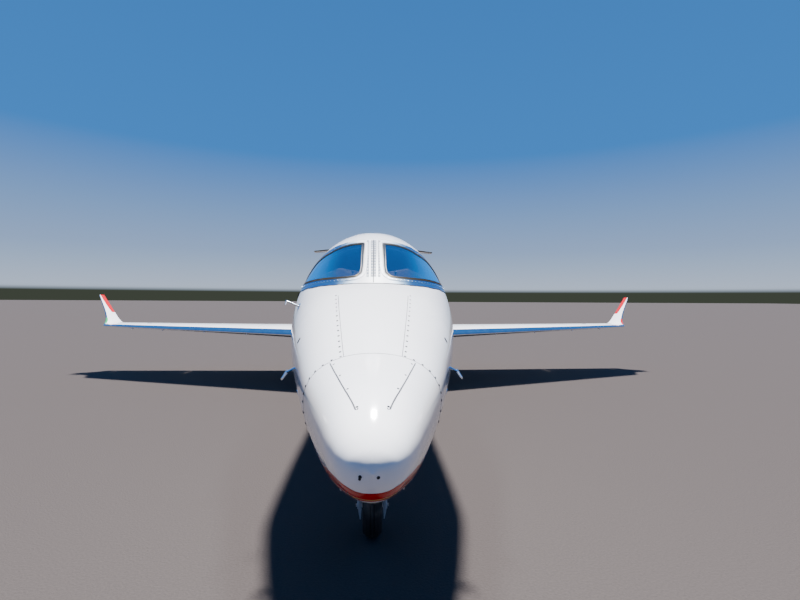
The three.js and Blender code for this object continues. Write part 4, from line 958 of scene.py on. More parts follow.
piece("rudderWicks", trailers(fin["rows"], (2.95, 3.5), upright=True), darkTrim, "rudder")
piece("tailBeacon", lathe([[0, -0.01], [0.036, -0.01], [0.036, 0.012], [0.032, 0.03], [0.02, 0.044], [0, 0.05]],
                          (0, 15.9 + noseTip, bullet["height"] + bullet["radius"] - 0.002), (0, 0, 1), 32), redLens)
piece("tailLamp", lathe([[0, -0.03], [0.024, -0.03], [0.02, 0.004], [0, 0.014]],
                        (0, bullet["to"] + noseTip, bullet["height"]), sides=24), clearLens)
# blade aerials: rows of base, top, station and chord
aerials = [(2.69, 2.87, 5.35, 0.27), (2.69, 2.83, 8.3, 0.22), (0.745, 0.57, 5.1, 0.24), (0.69, 0.54, 8.7, 0.2)]
sails = [blade([[base, s, c, 0.1, 0, 0], [(base + top) / 2, s + 0.06, c * 0.72, 0.09, 0, 0],
                [top, s + 0.13, c * 0.42, 0.08, 0, 0]], upright=True) for base, top, s, c in aerials]
piece("antennas", together([*sails, skinStuds([0, 0], [4.75, 6.6], 0.1, 0.022, 28)]), whitePaint)
ventral = {"root": [0.27, 13.75, 1.5, 0.04, 1.56, 0], "tip": [0.8, 14.45, 0.9, 0.04, 1.13, 0],
           "normal": np.array([0.63, 0, 0.78])}
strake = []
for out, nose, chord, thick, height, _ in (ventral["root"], ventral["tip"]):
    section = bladePoint([0, nose, chord, thick, 0, 0], *bothFaces(np.linspace(1, 0, 20) ** 1.5))
    strake.append(section[:, 2:] * ventral["normal"] + section * [0, 1, 0] + [out, 0, height])
pair("ventralFin", loft(strake), whitePaint, replaces="ventral_fin_{side}", slot="white_paint")

# Fairing under the body: rows of station, half width and bottom
fairing = {"rows": np.array([[6.3, 0.7, 0.706], [7.0, 0.9, 0.69], [7.6, 0.985, 0.672], [9.5, 1.0, 0.664],
                             [10.5, 0.96, 0.68], [11.3, 0.66, 0.765]]), "height": 1.08, "up": 0.29, "power": 2.5,
           "sides": 96}
up, across = circle(fairing["sides"])
reach = squircle(across, up, fairing["power"])
rings = []
for station in np.linspace(*fairing["rows"][[0, -1], 0], 60):
    half, bottom = (steadyCurve(fairing["rows"][:, 0], fairing["rows"][:, k])(station) for k in (1, 2))
    tall = np.where(up >= 0, fairing["up"], fairing["height"] - bottom)
    rings.append(np.stack([half * across * reach, np.full(fairing["sides"], station + noseTip),
                           fairing["height"] + tall * up * reach], -1))
piece("bellyFairing", loft(rings), whitePaint, replaces="belly_fairing", slot="white_paint")
print("tail and fairings done")

# Engines: rows of radius and station
engine = {"out": 1.4, "height": 2.15, "lipEnd": 10.76, "sides": 96}
engineCentre = np.array([engine["out"], noseTip, engine["height"]])
nacelleOuter = curve([[0.389, 10.6], [0.407, 10.606], [0.434, 10.65], [0.455, 10.8], [0.468, 11.1], [0.47, 11.5],
                      [0.468, 11.9], [0.44, 12.7], [0.37, 13.45]], 70)
nacelleInner = curve([[0.358, 13.45], [0.372, 13.2], [0.372, 11.0], [0.372, 10.8], [0.376, 10.66], [0.382, 10.612],
                      [0.389, 10.6]], 60)
nacelleOutline = np.vstack([nacelleOuter, nacelleInner[:-1]])
nacelle = latheRing(nacelleOutline, engineCentre, sides=engine["sides"])
middles = (nacelleOutline + np.roll(nacelleOutline, -1, 0)) / 2
ringTones = np.where(middles[:, 1] < engine["lipEnd"], 2, np.arange(len(middles)) >= len(nacelleOuter))
nacelle.tones[0] = np.repeat(ringTones, engine["sides"])
pair("nacelleSkin", nacelle, [whitePaint, fanMetal, polished], replaces="nacelle_{side}", slot="white_paint",
     sharp=50)
core = [[0, 11.43], [0.07, 11.43], [0.07, 11.5], [0.3716, 11.5], [0.3716, 12.65], [0.34, 13.0], [0.262, 13.6],
        [0.245, 13.6], [0.25, 13.4], [0.13, 13.4], [0.09, 13.55], [0.03, 13.74], [0, 13.78]]
pair("engineCore", lathe(core, engineCentre, sides=72), hotMetal, replaces="engine_core_{side}",
     slot="engine_metal", sharp=30)
fan = {"blades": 20, "root": 0.1, "tip": 0.358, "from": 11.27, "to": 11.385, "pitch": 0.93}


def fanBlade(angle):
    # a thin curved section twisted from root to tip
    rings = []
    along, across = circle(20)
    for share in np.linspace(0, 1, 14):
        radius = fan["root"] + (fan["tip"] - fan["root"]) * share
        thick = (0.011 - 0.007 * share) * across * np.sqrt(1.05 - along ** 2 * 0.8)
        half = (fan["to"] - fan["from"]) / 2 * (0.98 - 0.1 * (2 * share - 1.1) ** 2)
        twist = fan["pitch"] * (0.55 + 0.45 * share)
        shift = along * half * twist + thick * 0.6 + 0.012 * (1 - along ** 2) * (1 - share)
        lean = angle + shift / radius
        rings.append(np.stack([radius * np.sin(lean), (fan["from"] + fan["to"]) / 2 + along * half - thick * 0.5,
                               radius * np.cos(lean)], -1))
    return loft(rings).moved(*engineCentre)


fanShape = together(fanBlade(angle) for angle in around(fan["blades"]))
spinner = np.array([[0, 11.08], [0.018, 11.083], [0.035, 11.095], [0.06, 11.12], [0.08, 11.15], [0.102, 11.19],
                    [0.118, 11.23], [0.127, 11.26], [0.13, 11.29], [0.13, 11.4], [0.06, 11.4], [0.06, 11.4296],
                    [0, 11.4296]])
fanWhole = fanShape + lathe(spinner, engineCentre, sides=48, tone=1)
pair("fanRotor", fanWhole, [fanMetal, darkTrim], "{side}_fan", "fan_{side}", slot="fan_metal", sharp=40)


def nacelleRadius(station):
    return np.interp(station, nacelleOuter[:, 1], nacelleOuter[:, 0])


def aroundNacelle(station, angle):
    # points and normals on the nacelle by station and angle from the top
    station, angle = spread(station, angle)
    normal = np.stack([np.sin(angle), np.zeros_like(angle), np.cos(angle)], -1)
    return engineCentre + normal * nacelleRadius(station)[:, None] + station[:, None] * [0, 1, 0], normal


cowl = {"rings": (10.79, 11.4, 12.45, 13.05), "splits": (math.pi, math.pi / 2, math.radians(25)),
        "latches": np.arange(11.5, 12.4, 0.2)}
lines = [latheRing([[nacelleRadius(s) + rise, s + side * 0.0018] for rise, side in
                    ((-0.002, -1), (0.0007, -1), (0.0007, 1), (-0.002, 1))], engineCentre, sides=engine["sides"])
         for s in cowl["rings"]]
lines += [strip(*aroundNacelle(np.linspace(11.4, 12.45, 40), angle), 0.0035) for angle in cowl["splits"]]
pair("nacelleLines", together(lines), panelLine)
fittings = [studs(*aroundNacelle(s + 0.015, around(60)), 0.0026, 0.0006, 6) for s in cowl["rings"]]
for s in cowl["latches"]:
    low = engineCentre + [0, s, -nacelleRadius(s)]
    fittings.append(roundedBox(low - [0.011, 0, 0.003], low + [0.011, 0.065, 0.01], 0.003))
pair("nacelleFittings", together(fittings), bareMetal)
mark = {"inner": 0.012, "wide": 0.1, "lift": 0.001, "turn": 7, "points": 70}
share = np.linspace(0, 1, mark["points"])
radius, turn = mark["inner"] + mark["wide"] * share, share * mark["turn"]
spiral = np.stack([radius * np.sin(turn), np.interp(radius, *spinner[:7].T) + mark["lift"], radius * np.cos(turn)],
                  -1)
spiralTube = tube(engineCentre + spiral, np.linspace(0.002, 0.0055, mark["points"]), 8)
pair("spinnerMark", spiralTube, whitePaint, "{side}_fan")
pylon = {"section": [0, 10.95, 2.5, 0.07, 2.19, 0], "root": 0.5, "into": 0.02}
rings = []
for share in np.linspace(0, 1, 12):
    ring = bladePoint(pylon["section"], *bothFaces(np.linspace(1, 0, 40) ** 1.4))
    reach = engine["out"] - nacelleRadius(ring[:, 1] - noseTip) + pylon["into"]
    ring[:, 0] = pylon["root"] + (reach - pylon["root"]) * share
    rings.append(ring)
pair("pylonSkin", loft(rings), whitePaint, replaces="pylon_{side}", slot="white_paint")
print("engines done")

# Undercarriage
flat = math.cos(math.pi / 24)  # the tyres stand on one flat of their outline
noseWheel = {"station": 1.9, "radius": 0.23, "width": 0.15, "rim": 0.128}
mainWheel = {"station": 9.85, "radius": 0.28, "width": 0.172, "rim": 0.165, "out": 1.42, "apart": 0.3}
noseAxle, mainAxle = noseWheel["radius"] * flat, mainWheel["radius"] * flat


def at(out, station, height):
    return np.array([out, station + noseTip, height])


def bar(start, end, radius, sides=32, tone=0, step=0.004):
    # a straight round bar with its edges broken
    run = np.asarray(end, float) - start
    length = np.linalg.norm(run)
    first, last = np.broadcast_to(radius, 2)
    profile = [[0, 0], [first - step, 0], [first, step], [last, length - step], [last - step, length], [0, length]]
    return lathe(profile, start, run, sides, tone)


def bars(rows):
    # rows of two ends as out, station and height, then the radius, and sides and tone where they matter
    return [bar(at(*start), at(*end), *rest) for start, end, *rest in rows]


def boxes(rows):
    # rows of two corners as out, station and height, then the radius of the edges
    return [roundedBox(at(*low), at(*high), radius) for low, high, radius in rows]


def tyre(wheel, grooves):
    # tread with grooves, rounded shoulders, a raised rib on the sidewall and the bead at the rim
    radius, width, rim = wheel["radius"], wheel["width"], wheel["rim"]
    half, groove = width / 2, {"half": 0.0035, "deep": 0.006}
    side = [[rim + 0.0003, 0.38 * width], [rim + 0.005, 0.41 * width], [rim + 0.014, 0.445 * width],
            [rim + 0.03, 0.475 * width], [0.45 * rim + 0.55 * radius, half], [0.4 * rim + 0.6 * radius, half + 0.001],
            [0.36 * rim + 0.64 * radius, half], [0.25 * rim + 0.75 * radius, 0.485 * width],
            [radius - 0.14 * width, 0.43 * width], [radius - 0.07 * width, 0.36 * width],
            [radius - 0.025 * width, 0.26 * width], [radius - 0.008 * width, 0.19 * width]]
    tread = []
    for across in grooves[::-1]:
        top = radius - 0.004 * (across / half) ** 2
        tread += [[top, across + groove["half"]], [top - groove["deep"], across + groove["half"] * 0.7],
                  [top - groove["deep"], across - groove["half"] * 0.7], [top, across - groove["half"]]]
    return np.array(side + tread + [[r, -a] for r, a in side[::-1]])


def wheelRim(wheel, bore, holes):
    # two dished halves with lightening holes, a raised flange and tie bolts
    rim, width = wheel["rim"], wheel["width"]
    face, web = 0.38 * width, 0.12 * width
    profile = [[bore, 0.24 * width], [bore + 0.022, 0.24 * width], [bore + 0.03, 0.2 * width], [rim - 0.03, web],
               [rim - 0.018, web + 0.004], [rim - 0.009, face - 0.006], [rim - 0.004, face],
               [rim + 0.006, face + 0.002], [rim + 0.006, face - 0.002], [rim, face - 0.003]]
    outline = np.array(profile + [[r, -a] for r, a in profile[::-1]])
    middle = (bore + 0.026 + rim) / 2
    cuts = [lathe([[0, -0.1], [0.0135, -0.1], [0.0135, 0.1], [0, 0.1]],
                  (0, math.sin(turn) * middle, math.cos(turn) * middle), (1, 0, 0), 20, 1) for turn in around(holes)]
    disc = combine(latheRing(outline, (0, 0, 0), (1, 0, 0)), cuts)
    turn = (np.arange(holes * 2) + 0.5) * math.pi / holes
    for side in (-1, 1):
        spots = np.stack([np.full(holes * 2, side * (0.005 + 0.2 * width)), np.sin(turn) * (bore + 0.024),
                          np.cos(turn) * (bore + 0.024)], -1)
        disc = disc + studs(spots, np.tile([side, 0, 0], (holes * 2, 1)), 0.0055, 0.006, 6, 2)
    return disc


wheelTones = [wheelMetal, darkTrim, brightStud]
noseHub, mainHub = at(0, noseWheel["station"], noseAxle), at(mainWheel["out"], mainWheel["station"], mainAxle)
noseTyre = latheRing(tyre(noseWheel, (-0.042, -0.014, 0.014, 0.042)), noseHub, (1, 0, 0), 96)
piece("noseTyre", noseTyre, tyreRubber, "nose_wheel", "nose_tyre", slot="tyre_rubber", sharp=50)
piece("noseRim", wheelRim(noseWheel, 0.0206, 8).moved(*noseHub), wheelTones, "nose_wheel", "nose_rim",
      slot="wheel_grey")

mainTyre = latheRing(tyre(mainWheel, (-0.051, -0.017, 0.017, 0.051)), mainHub, (1, 0, 0), 96)
mainRim = wheelRim(mainWheel, 0.03, 9)
hub = bar([-0.2, 0, 0], [0.2, 0, 0], 0.0395, 32, 2)
for name, side in (("Inner", -1), ("Outer", 1)):
    shift = side * mainWheel["apart"] / 2
    pair(f"mainTyre{name}", mainTyre.moved(shift), tyreRubber, "{side}_main_wheels",
         f"main_tyre_{name.lower()}_" + "{side}", slot="tyre_rubber", sharp=50)
    cap = lathe([[0, 0.055], [0.026, 0.055], [0.036, 0.046], [0.038, 0.035], [0.038, 0.0], [0, 0.0]], (0, 0, 0),
                (side, 0, 0), 40)
    hub = hub + (mainRim + cap).moved(shift)
pair("mainHub", hub.moved(*mainHub), wheelTones, "{side}_main_wheels", "main_hub_{side}", slot="wheel_grey")

# Nose leg, the turning fork and the well's doors
steer, axle = 1.862, noseWheel["station"]
legParts = bars([
    [(0, steer, 1.0897), (0, steer, 0.62), 0.05, 48], [(0, steer, 0.66), (0, steer, 0.523), 0.045, 48, 2],
    [(0, steer, 0.86), (0, 2.196, 1.0), 0.024], [(-0.09, steer, 0.78), (0.09, steer, 0.78), 0.03],
    [(0, steer, 0.9), (0, steer, 0.82), 0.058, 40], [(0, steer, 0.7), (0, steer, 0.665), 0.06, 40]])
legParts += boxes([[(-0.07, 2.17, 0.95), (0.07, 2.2295, 1.05), 0.008]])
piece("noseLeg", together(legParts), [gearPaint, brightStud, chrome], replaces="nose_leg", slot="gear_grey")
fork = boxes([[(-0.122, steer - 0.045, 0.468), (0.122, steer + 0.045, 0.494), 0.012]])
fork += bars([[(0, steer, 0.5197), (0, steer, 0.468), 0.046, 48],
              [(-0.112, axle, noseAxle), (0.112, axle, noseAxle), 0.0198, 32, 1]])
armRows = [[0.104, steer, 0.48, 0.04, 0.018], [0.103, steer + 0.012, 0.36, 0.034, 0.0165],
           [0.101, axle, noseAxle, 0.03, 0.016], [0.0985, axle + 0.006, 0.16, 0.019, 0.01],
           [0.096, axle + 0.01, 0.112, 0.009, 0.005]]
across, deep = circle(32)
reach = squircle(across, deep, 4)
for side in (-1, 1):
    rings = [np.stack([side * out + across * reach * thin, station + noseTip + deep * reach * wide,
                       np.full(32, height)], -1) for out, station, height, wide, thin in curve(armRows, 24, [1, 2])]
    fork += [loft(rings), bar(at(side * 0.09, axle, noseAxle), at(side * 0.12, axle, noseAxle), 0.03),
             lathe([[0, 0.012], [0.013, 0.012], [0.014, 0.0], [0, -0.002]], at(side * 0.12, axle, noseAxle),
                   (side, 0, 0), 6, 1)]
piece("noseFork", together(fork), [gearPaint, brightStud], "steering", "nose_fork", slot="gear_grey")
elbow = {"station": steer + 0.16, "height": 0.555, "radii": (0.011, 0.008)}
links = [latheRing([[0.0545, 0.6], [0.066, 0.6], [0.066, 0.64], [0.0545, 0.64]], at(0, steer, 0), (0, 0, 1), 48)]
for x in (-0.03, 0.03):
    links += bars([[(x, steer + back, height), (x * 0.5, elbow["station"], elbow["height"]), elbow["radii"], 16]
                   for back, height in ((0.05, 0.62), (0.03, 0.482))])
links += bars([[(-0.028, elbow["station"], elbow["height"]), (0.028, elbow["station"], elbow["height"]),
                0.009, 16, 1]])
piece("noseLinks", together(links), [gearPaint, brightStud], "steering")
for name, profile, finish in (
        ("", [[0, -0.03], [0.03, -0.03], [0.052, 0], [0.056, 0.035], [0.052, 0.04], [0.047, 0.034], [0, 0.03]],
         gearPaint), ("Glass", [[0, 0.029], [0.046, 0.029], [0.046, 0.034], [0, 0.042]], clearLens)):
    piece("taxiLamp" + name, lathe(profile, at(0, steer - 0.062, 0.755), (0, -1, -0.08), 40), finish)
well = {"from": 1.42, "to": 2.2, "ease": 0.04}
doorPath = curve([[0.1585, 0.79], [0.16, 0.71], [0.19, 0.63], [0.222, 0.54]], 14)
rings = []
for station in np.linspace(well["from"], well["to"], 24):
    inset = max(0, 1 - min(station - well["from"], well["to"] - station) / well["ease"])
    path = doorPath + [0, 0.03 * inset ** 2] * np.linspace(0, 1, 14)[:, None]
    section = np.vstack([path + [0.005, 0.001], (path - [0.006, 0.001])[::-1]])
    rings.append(np.insert(section, 1, station + noseTip, 1))
pair("noseDoor", loft(rings), whitePaint, replaces="nose_door_{side}", slot="white_paint", sharp=50)

# Main legs with their trailing arms
out, lateral = mainWheel["out"], np.array([1, 0, 0])
knee, legTop, shockTop = at(out, 9.47, 0.42), at(out, 9.48, 1.05), at(out, 9.56, 0.83)
mainLeg = [bar(legTop, knee, 0.06, 48), bar(knee - lateral * 0.045, knee + lateral * 0.045, 0.066, 48),
           bar(knee, mainHub, (0.05, 0.044), 40),
           bar(mainHub - lateral * 0.045, mainHub + lateral * 0.045, 0.062, 48),
           bar(mainHub + [0, -0.03, 0.03], shockTop, 0.018, 32, 2),
           bar(mainHub * 0.45 + shockTop * 0.55, shockTop, 0.03),
           bar(knee - lateral * 0.056, knee + lateral * 0.056, 0.026, 24, 1)]
mainLeg += bars([[(out, 9.48, 0.76), (0.96, 9.48, 0.98), 0.03], [(out, 9.48, 0.9), (out, 9.48, 0.83), 0.072, 48]])
pair("mainLeg", together(mainLeg), [gearPaint, brightStud, chrome], replaces="main_leg_{side}", slot="gear_grey")
disc = [[0.066, 0.049], [0.112, 0.049], [0.112, 0.056], [0.104, 0.057], [0.104, 0.06], [0.116, 0.061], [0.116, 0.068],
        [0.104, 0.069], [0.104, 0.072], [0.112, 0.073], [0.112, 0.079], [0.066, 0.079]]
brakes = [latheRing(disc, mainHub, (side, 0, 0), 48) for side in (-1, 1)]
pistons = {"count": 6, "away": 0.085, "inner": 0.03, "outer": 0.046, "radius": 0.016}
for side in (-1, 1):
    for turn in around(pistons["count"]):
        spot = mainHub + [0, math.sin(turn) * pistons["away"], math.cos(turn) * pistons["away"]]
        ends = (spot + lateral * side * pistons[key] for key in ("outer", "inner"))
        brakes.append(bar(*ends, pistons["radius"], 16, step=0.003))
pair("mainBrakes", together(brakes), wheelMetal)
pipe = curve([legTop + [0.066, -0.02, -0.1], legTop + [0.068, -0.02, -0.4], knee + [0.072, 0.02, 0.02],
              knee + [0.06, 0.16, -0.06], mainHub + [0.054, -0.1, 0.05], mainHub + [0.03, -0.03, 0.07]], 40)
pair("brakePipe", tube(pipe, 0.005, 10), darkTrim)
doorOut = out + 0.262
legDoor = boxes([[(doorOut, 9.23, 0.56), (doorOut + 0.014, 9.54, 1.0), 0.006],
                 [(out + 0.06, 9.46, 0.8), (doorOut + 0.004, 9.5, 0.83), 0.006],
                 [(doorOut - 0.01, 9.27, 0.6), (doorOut + 0.002, 9.3, 0.95), 0.004],
                 [(doorOut - 0.01, 9.47, 0.6), (doorOut + 0.002, 9.5, 0.95), 0.004]])
pair("mainDoor", together(legDoor), whitePaint, replaces="main_door_{side}", slot="white_paint")
print("undercarriage done")

# Air data probes, a bent rod under the side glazing and a tab behind it
mast = [[0.612, 1.915, 1.338, 0.030, 0.010], [0.655, 1.912, 1.318, 0.026, 0.009], [0.69, 1.905, 1.3, 0.017, 0.0075]]
across, thick = circle(20)
rings = [np.stack([out + thick * thin * 0.5, station + noseTip + across * wide, height + thick * thin], -1)
         for out, station, height, wide, thin in curve(mast, 10, [0, 2])]
tubePath = curve([at(0.688, 1.935, 1.306), at(0.692, 1.895, 1.296), at(0.697, 1.82, 1.279), at(0.7, 1.78, 1.27)], 16)
probe = loft(rings) + tube(tubePath, np.linspace(0.012, 0.0085, 16), 20) + skinStuds([112], 1.915, 0.05, 0.004, 24)
pair("pitotProbe", probe, polished, replaces="pitot_{side}", slot="polished_metal")
rod = tube([at(-0.70, 2.632, 1.806), at(-0.74, 2.622, 1.826), at(-0.828, 2.6, 1.866)], [0.0095, 0.0085, 0.0075], 14)
rod = rod + tube([at(-0.824, 2.6, 1.872), at(-0.838, 2.6, 1.83)], [0.0085, 0.006], 14)
piece("rodProbe", rod + skinStuds([-degreesAt(2.63, 1.813)], 2.63, 0.035, 0.004, 20), polished)
tabTurn = -degreesAt(3.1, np.linspace(1.902, 1.94, 6))
piece("sideTab", tube(hull(tabTurn, 3.1) + hullNormal(tabTurn, 3.1) * 0.008, 0.008), darkStud)
print("probes done")

# Passenger door: an upper half that lifts and a lower half that lowers with its steps
gapHalf = door["gap"] / 2
doorMiddle = (door["from"] + door["to"]) / 2
panel = plug(sideOutline(door["from"] + door["gap"], door["to"] - door["gap"], door["sill"] + door["gap"],
                         door["top"] - door["gap"], door["rounding"] - door["gap"]), 0.0, wall, 16)
above, below = (roundedBox([0, -9, low], [3, 0, high], 0.001)
                for low, high in ((door["split"] - gapHalf, 4), (0, door["split"] + gapHalf)))
windowHole = plug(windowOutline(doorMiddle), *through, 6, tone=1)


def doorLeaf(cuts, hinge):
    # one half of the door, its faces below the skin in the lining's tone, with two hinge knuckles
    leaf = combine(panel, cuts)
    for n, f in enumerate(leaf.faces):
        centre = leaf.points[f].mean(1)
        reach, skin = (np.linalg.norm((places - [0, 0, 1.6])[:, [0, 2]], axis=1)
                       for places in (centre, hull(*skinPlace(centre))))
        leaf.tones[n] = np.where(skin - reach > door["paintDeep"], 1, leaf.tones[n])
    knuckles = [[*((skinOut(s, hinge), s + side * door["knuckleHalf"], hinge) for side in (-1, 1)),
                 door["knuckleRadius"], 20] for s in door["knuckles"]]
    return leaf + together(bars(knuckles))


piece("doorUpper", doorLeaf([below, windowHole], door["top"] - gapHalf), [whitePaint, liner], "upper_door",
      "door_upper", slot="white_paint", onHull=True)
doorPane = plug(windowOutline(doorMiddle, -0.001), 0.006, 0.016, 8)
piece("doorWindow", doorPane, cabinGlass, "upper_door", "door_window", slot="window_glass", onHull=True)
treads = {"heights": [1.225, 1.375, 1.525], "deep": 0.175, "half": 0.012, "turn": math.radians(126), "margin": 0.09}
run = np.array([math.cos(treads["turn"]), math.sin(treads["turn"])])
steps = []
for height in treads["heights"]:
    root = skinOut(doorMiddle, height) - wall + 0.012
    slab = roundedBox([0, door["from"] + treads["margin"] + noseTip, -treads["half"]],
                      [treads["deep"], door["to"] - treads["margin"] + noseTip, treads["half"]], 0.006)
    x, y, z = slab.points.T
    steps.append(slab.changed(np.stack([root + run[0] * x + run[1] * z, y, height + run[1] * x - run[0] * z], -1)))
piece("doorLower", doorLeaf([above], door["sill"] + gapHalf), [whitePaint, liner], "lower_door", "door_lower",
      slot="white_paint", onHull=True)
piece("doorSteps", together(steps), carpet, "lower_door")
for side, stations in (("left", windows["stations"]), ("right", [windows["exit"], *windows["stations"]])):
    panes = together(plug(windowOutline(s, -0.001), 0.006, 0.014, 8) for s in stations)
    bezels = together(bead(windowOutline(s, 0.012), [(0.02, -wall + 0.001), (0.018, -wall - 0.008),
                                                     (-0.016, -wall - 0.008), (-0.02, -wall + 0.004)])
                      for s in stations)
    if side == "right":
        panes, bezels = panes.mirrored(), bezels.mirrored()
    piece(f"cabinPanes{side.capitalize()}", panes, cabinGlass, replaces=f"cabin_glass_{side}", slot="window_glass",
          onHull=True)
    piece(f"cabinBezels{side.capitalize()}", bezels, liner)
print("doors and windows done")

# Inside: floor, instrument panel, seats
floorTop = 1.15
crewOut, cabinOut = 0.38, 0.44  # middle lines of the seats
rings = []
for station in np.linspace(2.56, 9.7, 60):
    low, high = (at(skinOut(station, height, 0.072), station, height) for height in (1.112, floorTop))
    rings.append([low * [-1, 1, 1], low, high, high * [-1, 1, 1]])
piece("cabinCarpet", loft(rings), carpet, replaces="cabin_floor", slot="carpet")
panelFront = curve([[2.46, 1.3], [2.46, 1.9], [2.52, 1.98], [2.62, 2.035], [2.74, 2.066], [2.85, 2.075]], 24)
panelBack = curve([[2.875, 2.06], [2.865, 2.045], [2.8, 2.02], [2.765, 1.98], [2.775, 1.8], [2.785, 1.55],
                   [2.76, 1.3]], 24)
humps = {"out": [0, 0.11, 0.34, 0.49, 0.56, 0.72], "rise": [0.02, 0.085, 0.125, 0.065, 0.02, 0], "above": 1.99}
rings = []
for x in np.linspace(-0.72, 0.72, 96):
    rise = float(np.interp(abs(x), humps["out"], humps["rise"]))
    rings.append([at(x, s, z + rise * np.clip((z - humps["above"]) / 0.08, 0, 1))
                  for s, z in (*panelFront, *panelBack)])
glareshield = combine(loft(rings), [hullBody(2.44, 3.2, 0.07, 96)], "INTERSECT")
heights = glareshield.points[glareshield.faces[0]][..., 2].mean(1)
glareshield.tones[0] = np.where(heights > humps["above"], 1, 0)
pedestal = roundedBox(at(-0.13, 2.72, floorTop), at(0.13, 3.25, 1.56), 0.02)
piece("instrumentPanel", glareshield + pedestal, [trimPlastic, glareCloth], replaces="instrument_panel",
      slot="trim_grey", sharp=50)
controls = []
for out in (-crewOut, crewOut):
    half = curve([at(out, 2.93, 1.735), at(out + 0.08, 2.932, 1.738), at(out + 0.135, 2.935, 1.765),
                  at(out + 0.15, 2.925, 1.83)], 20)
    grip = np.vstack([(half * [-1, 1, 1] + [2 * out, 0, 0])[:0:-1], half])
    controls += [bar(at(out, 2.74, 1.70), at(out, 2.95, 1.742), 0.016, 24, 1),
                 tube(grip, 0.013 + 0.004 * np.linspace(-1, 1, 39) ** 8, 14),
                 roundedBox(at(out - 0.045, 2.915, 1.72), at(out + 0.045, 2.96, 1.765), 0.012)]
controls += boxes([[(x - 0.006, 2.93, 1.5), (x + 0.006, 2.96, 1.66), 0.003] for x in (-0.035, 0.035)])
controls += boxes([[(x - 0.022, 2.915, 1.645), (x + 0.022, 2.975, 1.69), 0.014] for x in (-0.035, 0.035)])
piece("yokes", together(controls), [darkTrim, chrome])
screens = boxes([[(x - wide, 2.755, 1.70), (x + wide, 2.792, 1.925), 0.006]
                 for x, wide in ((-crewOut, 0.16), (0, 0.15), (crewOut, 0.16))])
screens += boxes([[(-0.09, 2.78, 1.54), (0.09, 2.9, 1.572), 0.006]])
piece("screens", together(screens), screenGlass)
dial = bar([0, 0, 0], [0, 0.014, 0], 0.008, 16)
piece("panelKnobs", together(dial.moved(*at(x, 2.776, 1.655)) for x in np.arange(-0.5, 0.51, 0.1)), darkTrim)


def settle(thing):
    # keeps the mesh as its modifiers leave it
    done, old = evaluated(thing), thing.data
    thing.modifiers.clear()
    thing.data = done
    bpy.data.meshes.remove(old)


def stuffed(shape, voxel=0.017, most=0.018, pressure=4, frameCount=20):
    # a soft pad: remeshed evenly, filled by a short cloth simulation, then smoothed. No point moves further
    # than most, so that a pad stays on its seat.
    thing = added("pad", meshOf("pad", shape))
    even = thing.modifiers.new("even", "REMESH")
    even.mode, even.voxel_size = "VOXEL", voxel
    settle(thing)
    start = fetched(thing.data.vertices, "co", 3)
    cloth = thing.modifiers.new("cloth", "CLOTH")
    cloth.settings.use_pressure, cloth.settings.uniform_pressure_force = True, pressure
    cloth.settings.effector_weights.gravity = 0
    cloth.point_cache.frame_end = frameCount
    for n in range(1, frameCount + 1):
        bpy.context.scene.frame_set(n)
    settle(thing)
    bpy.context.scene.frame_set(1)
    move = fetched(thing.data.vertices, "co", 3) - start
    far = np.maximum(np.linalg.norm(move, axis=1), 1e-9)[:, None]
    thing.data.vertices.foreach_set("co", (start + move * np.minimum(1, most / far)).ravel())
    smooth = thing.modifiers.new("smooth", "SUBSURF")
    smooth.levels = smooth.render_levels = 1
    settle(thing)
    corners = fetched(thing.data.loops, "vertex_index", kind=int).reshape(-1, 4)
    pad = Shape(fetched(thing.data.vertices, "co", 3), [corners])
    discard(thing)
    return pad


def quilted(pad, facing, towards, seams, deep=0.007, wide=0.009):
    # sewn channels: grooves on the side of a pad that somebody leans on
    points = pad.points.copy()
    front = np.clip((points[:, facing] - np.median(points[:, facing])) * towards / 0.02, 0, 1)
    for axis, place in seams:
        points[:, facing] -= towards * deep * front * np.exp(-((points[:, axis] - place) / wide) ** 2 / 2)
    return pad.changed(points)


def piping(pad, low, high, facing):
    # a welt round a pad: a rounded rectangle drawn to the pad's nearest points and smoothed
    spoke = np.stack(circle(100), -1)
    spoke *= squircle(*spoke.T, 6)[:, None]
    low, high = np.array(low), np.array(high)
    loop = (low + high) / 2 + np.insert(spoke, facing, 0, 1) * (high - low) / 2
    near = np.array([pad.points[((pad.points - spot) ** 2).sum(1).argmin()] for spot in loop])
    for _ in range(4):
        near = (np.roll(near, 1, 0) + near * 2 + np.roll(near, -1, 0)) / 4
    return tube(near, 0.0042, 8, closed=True)


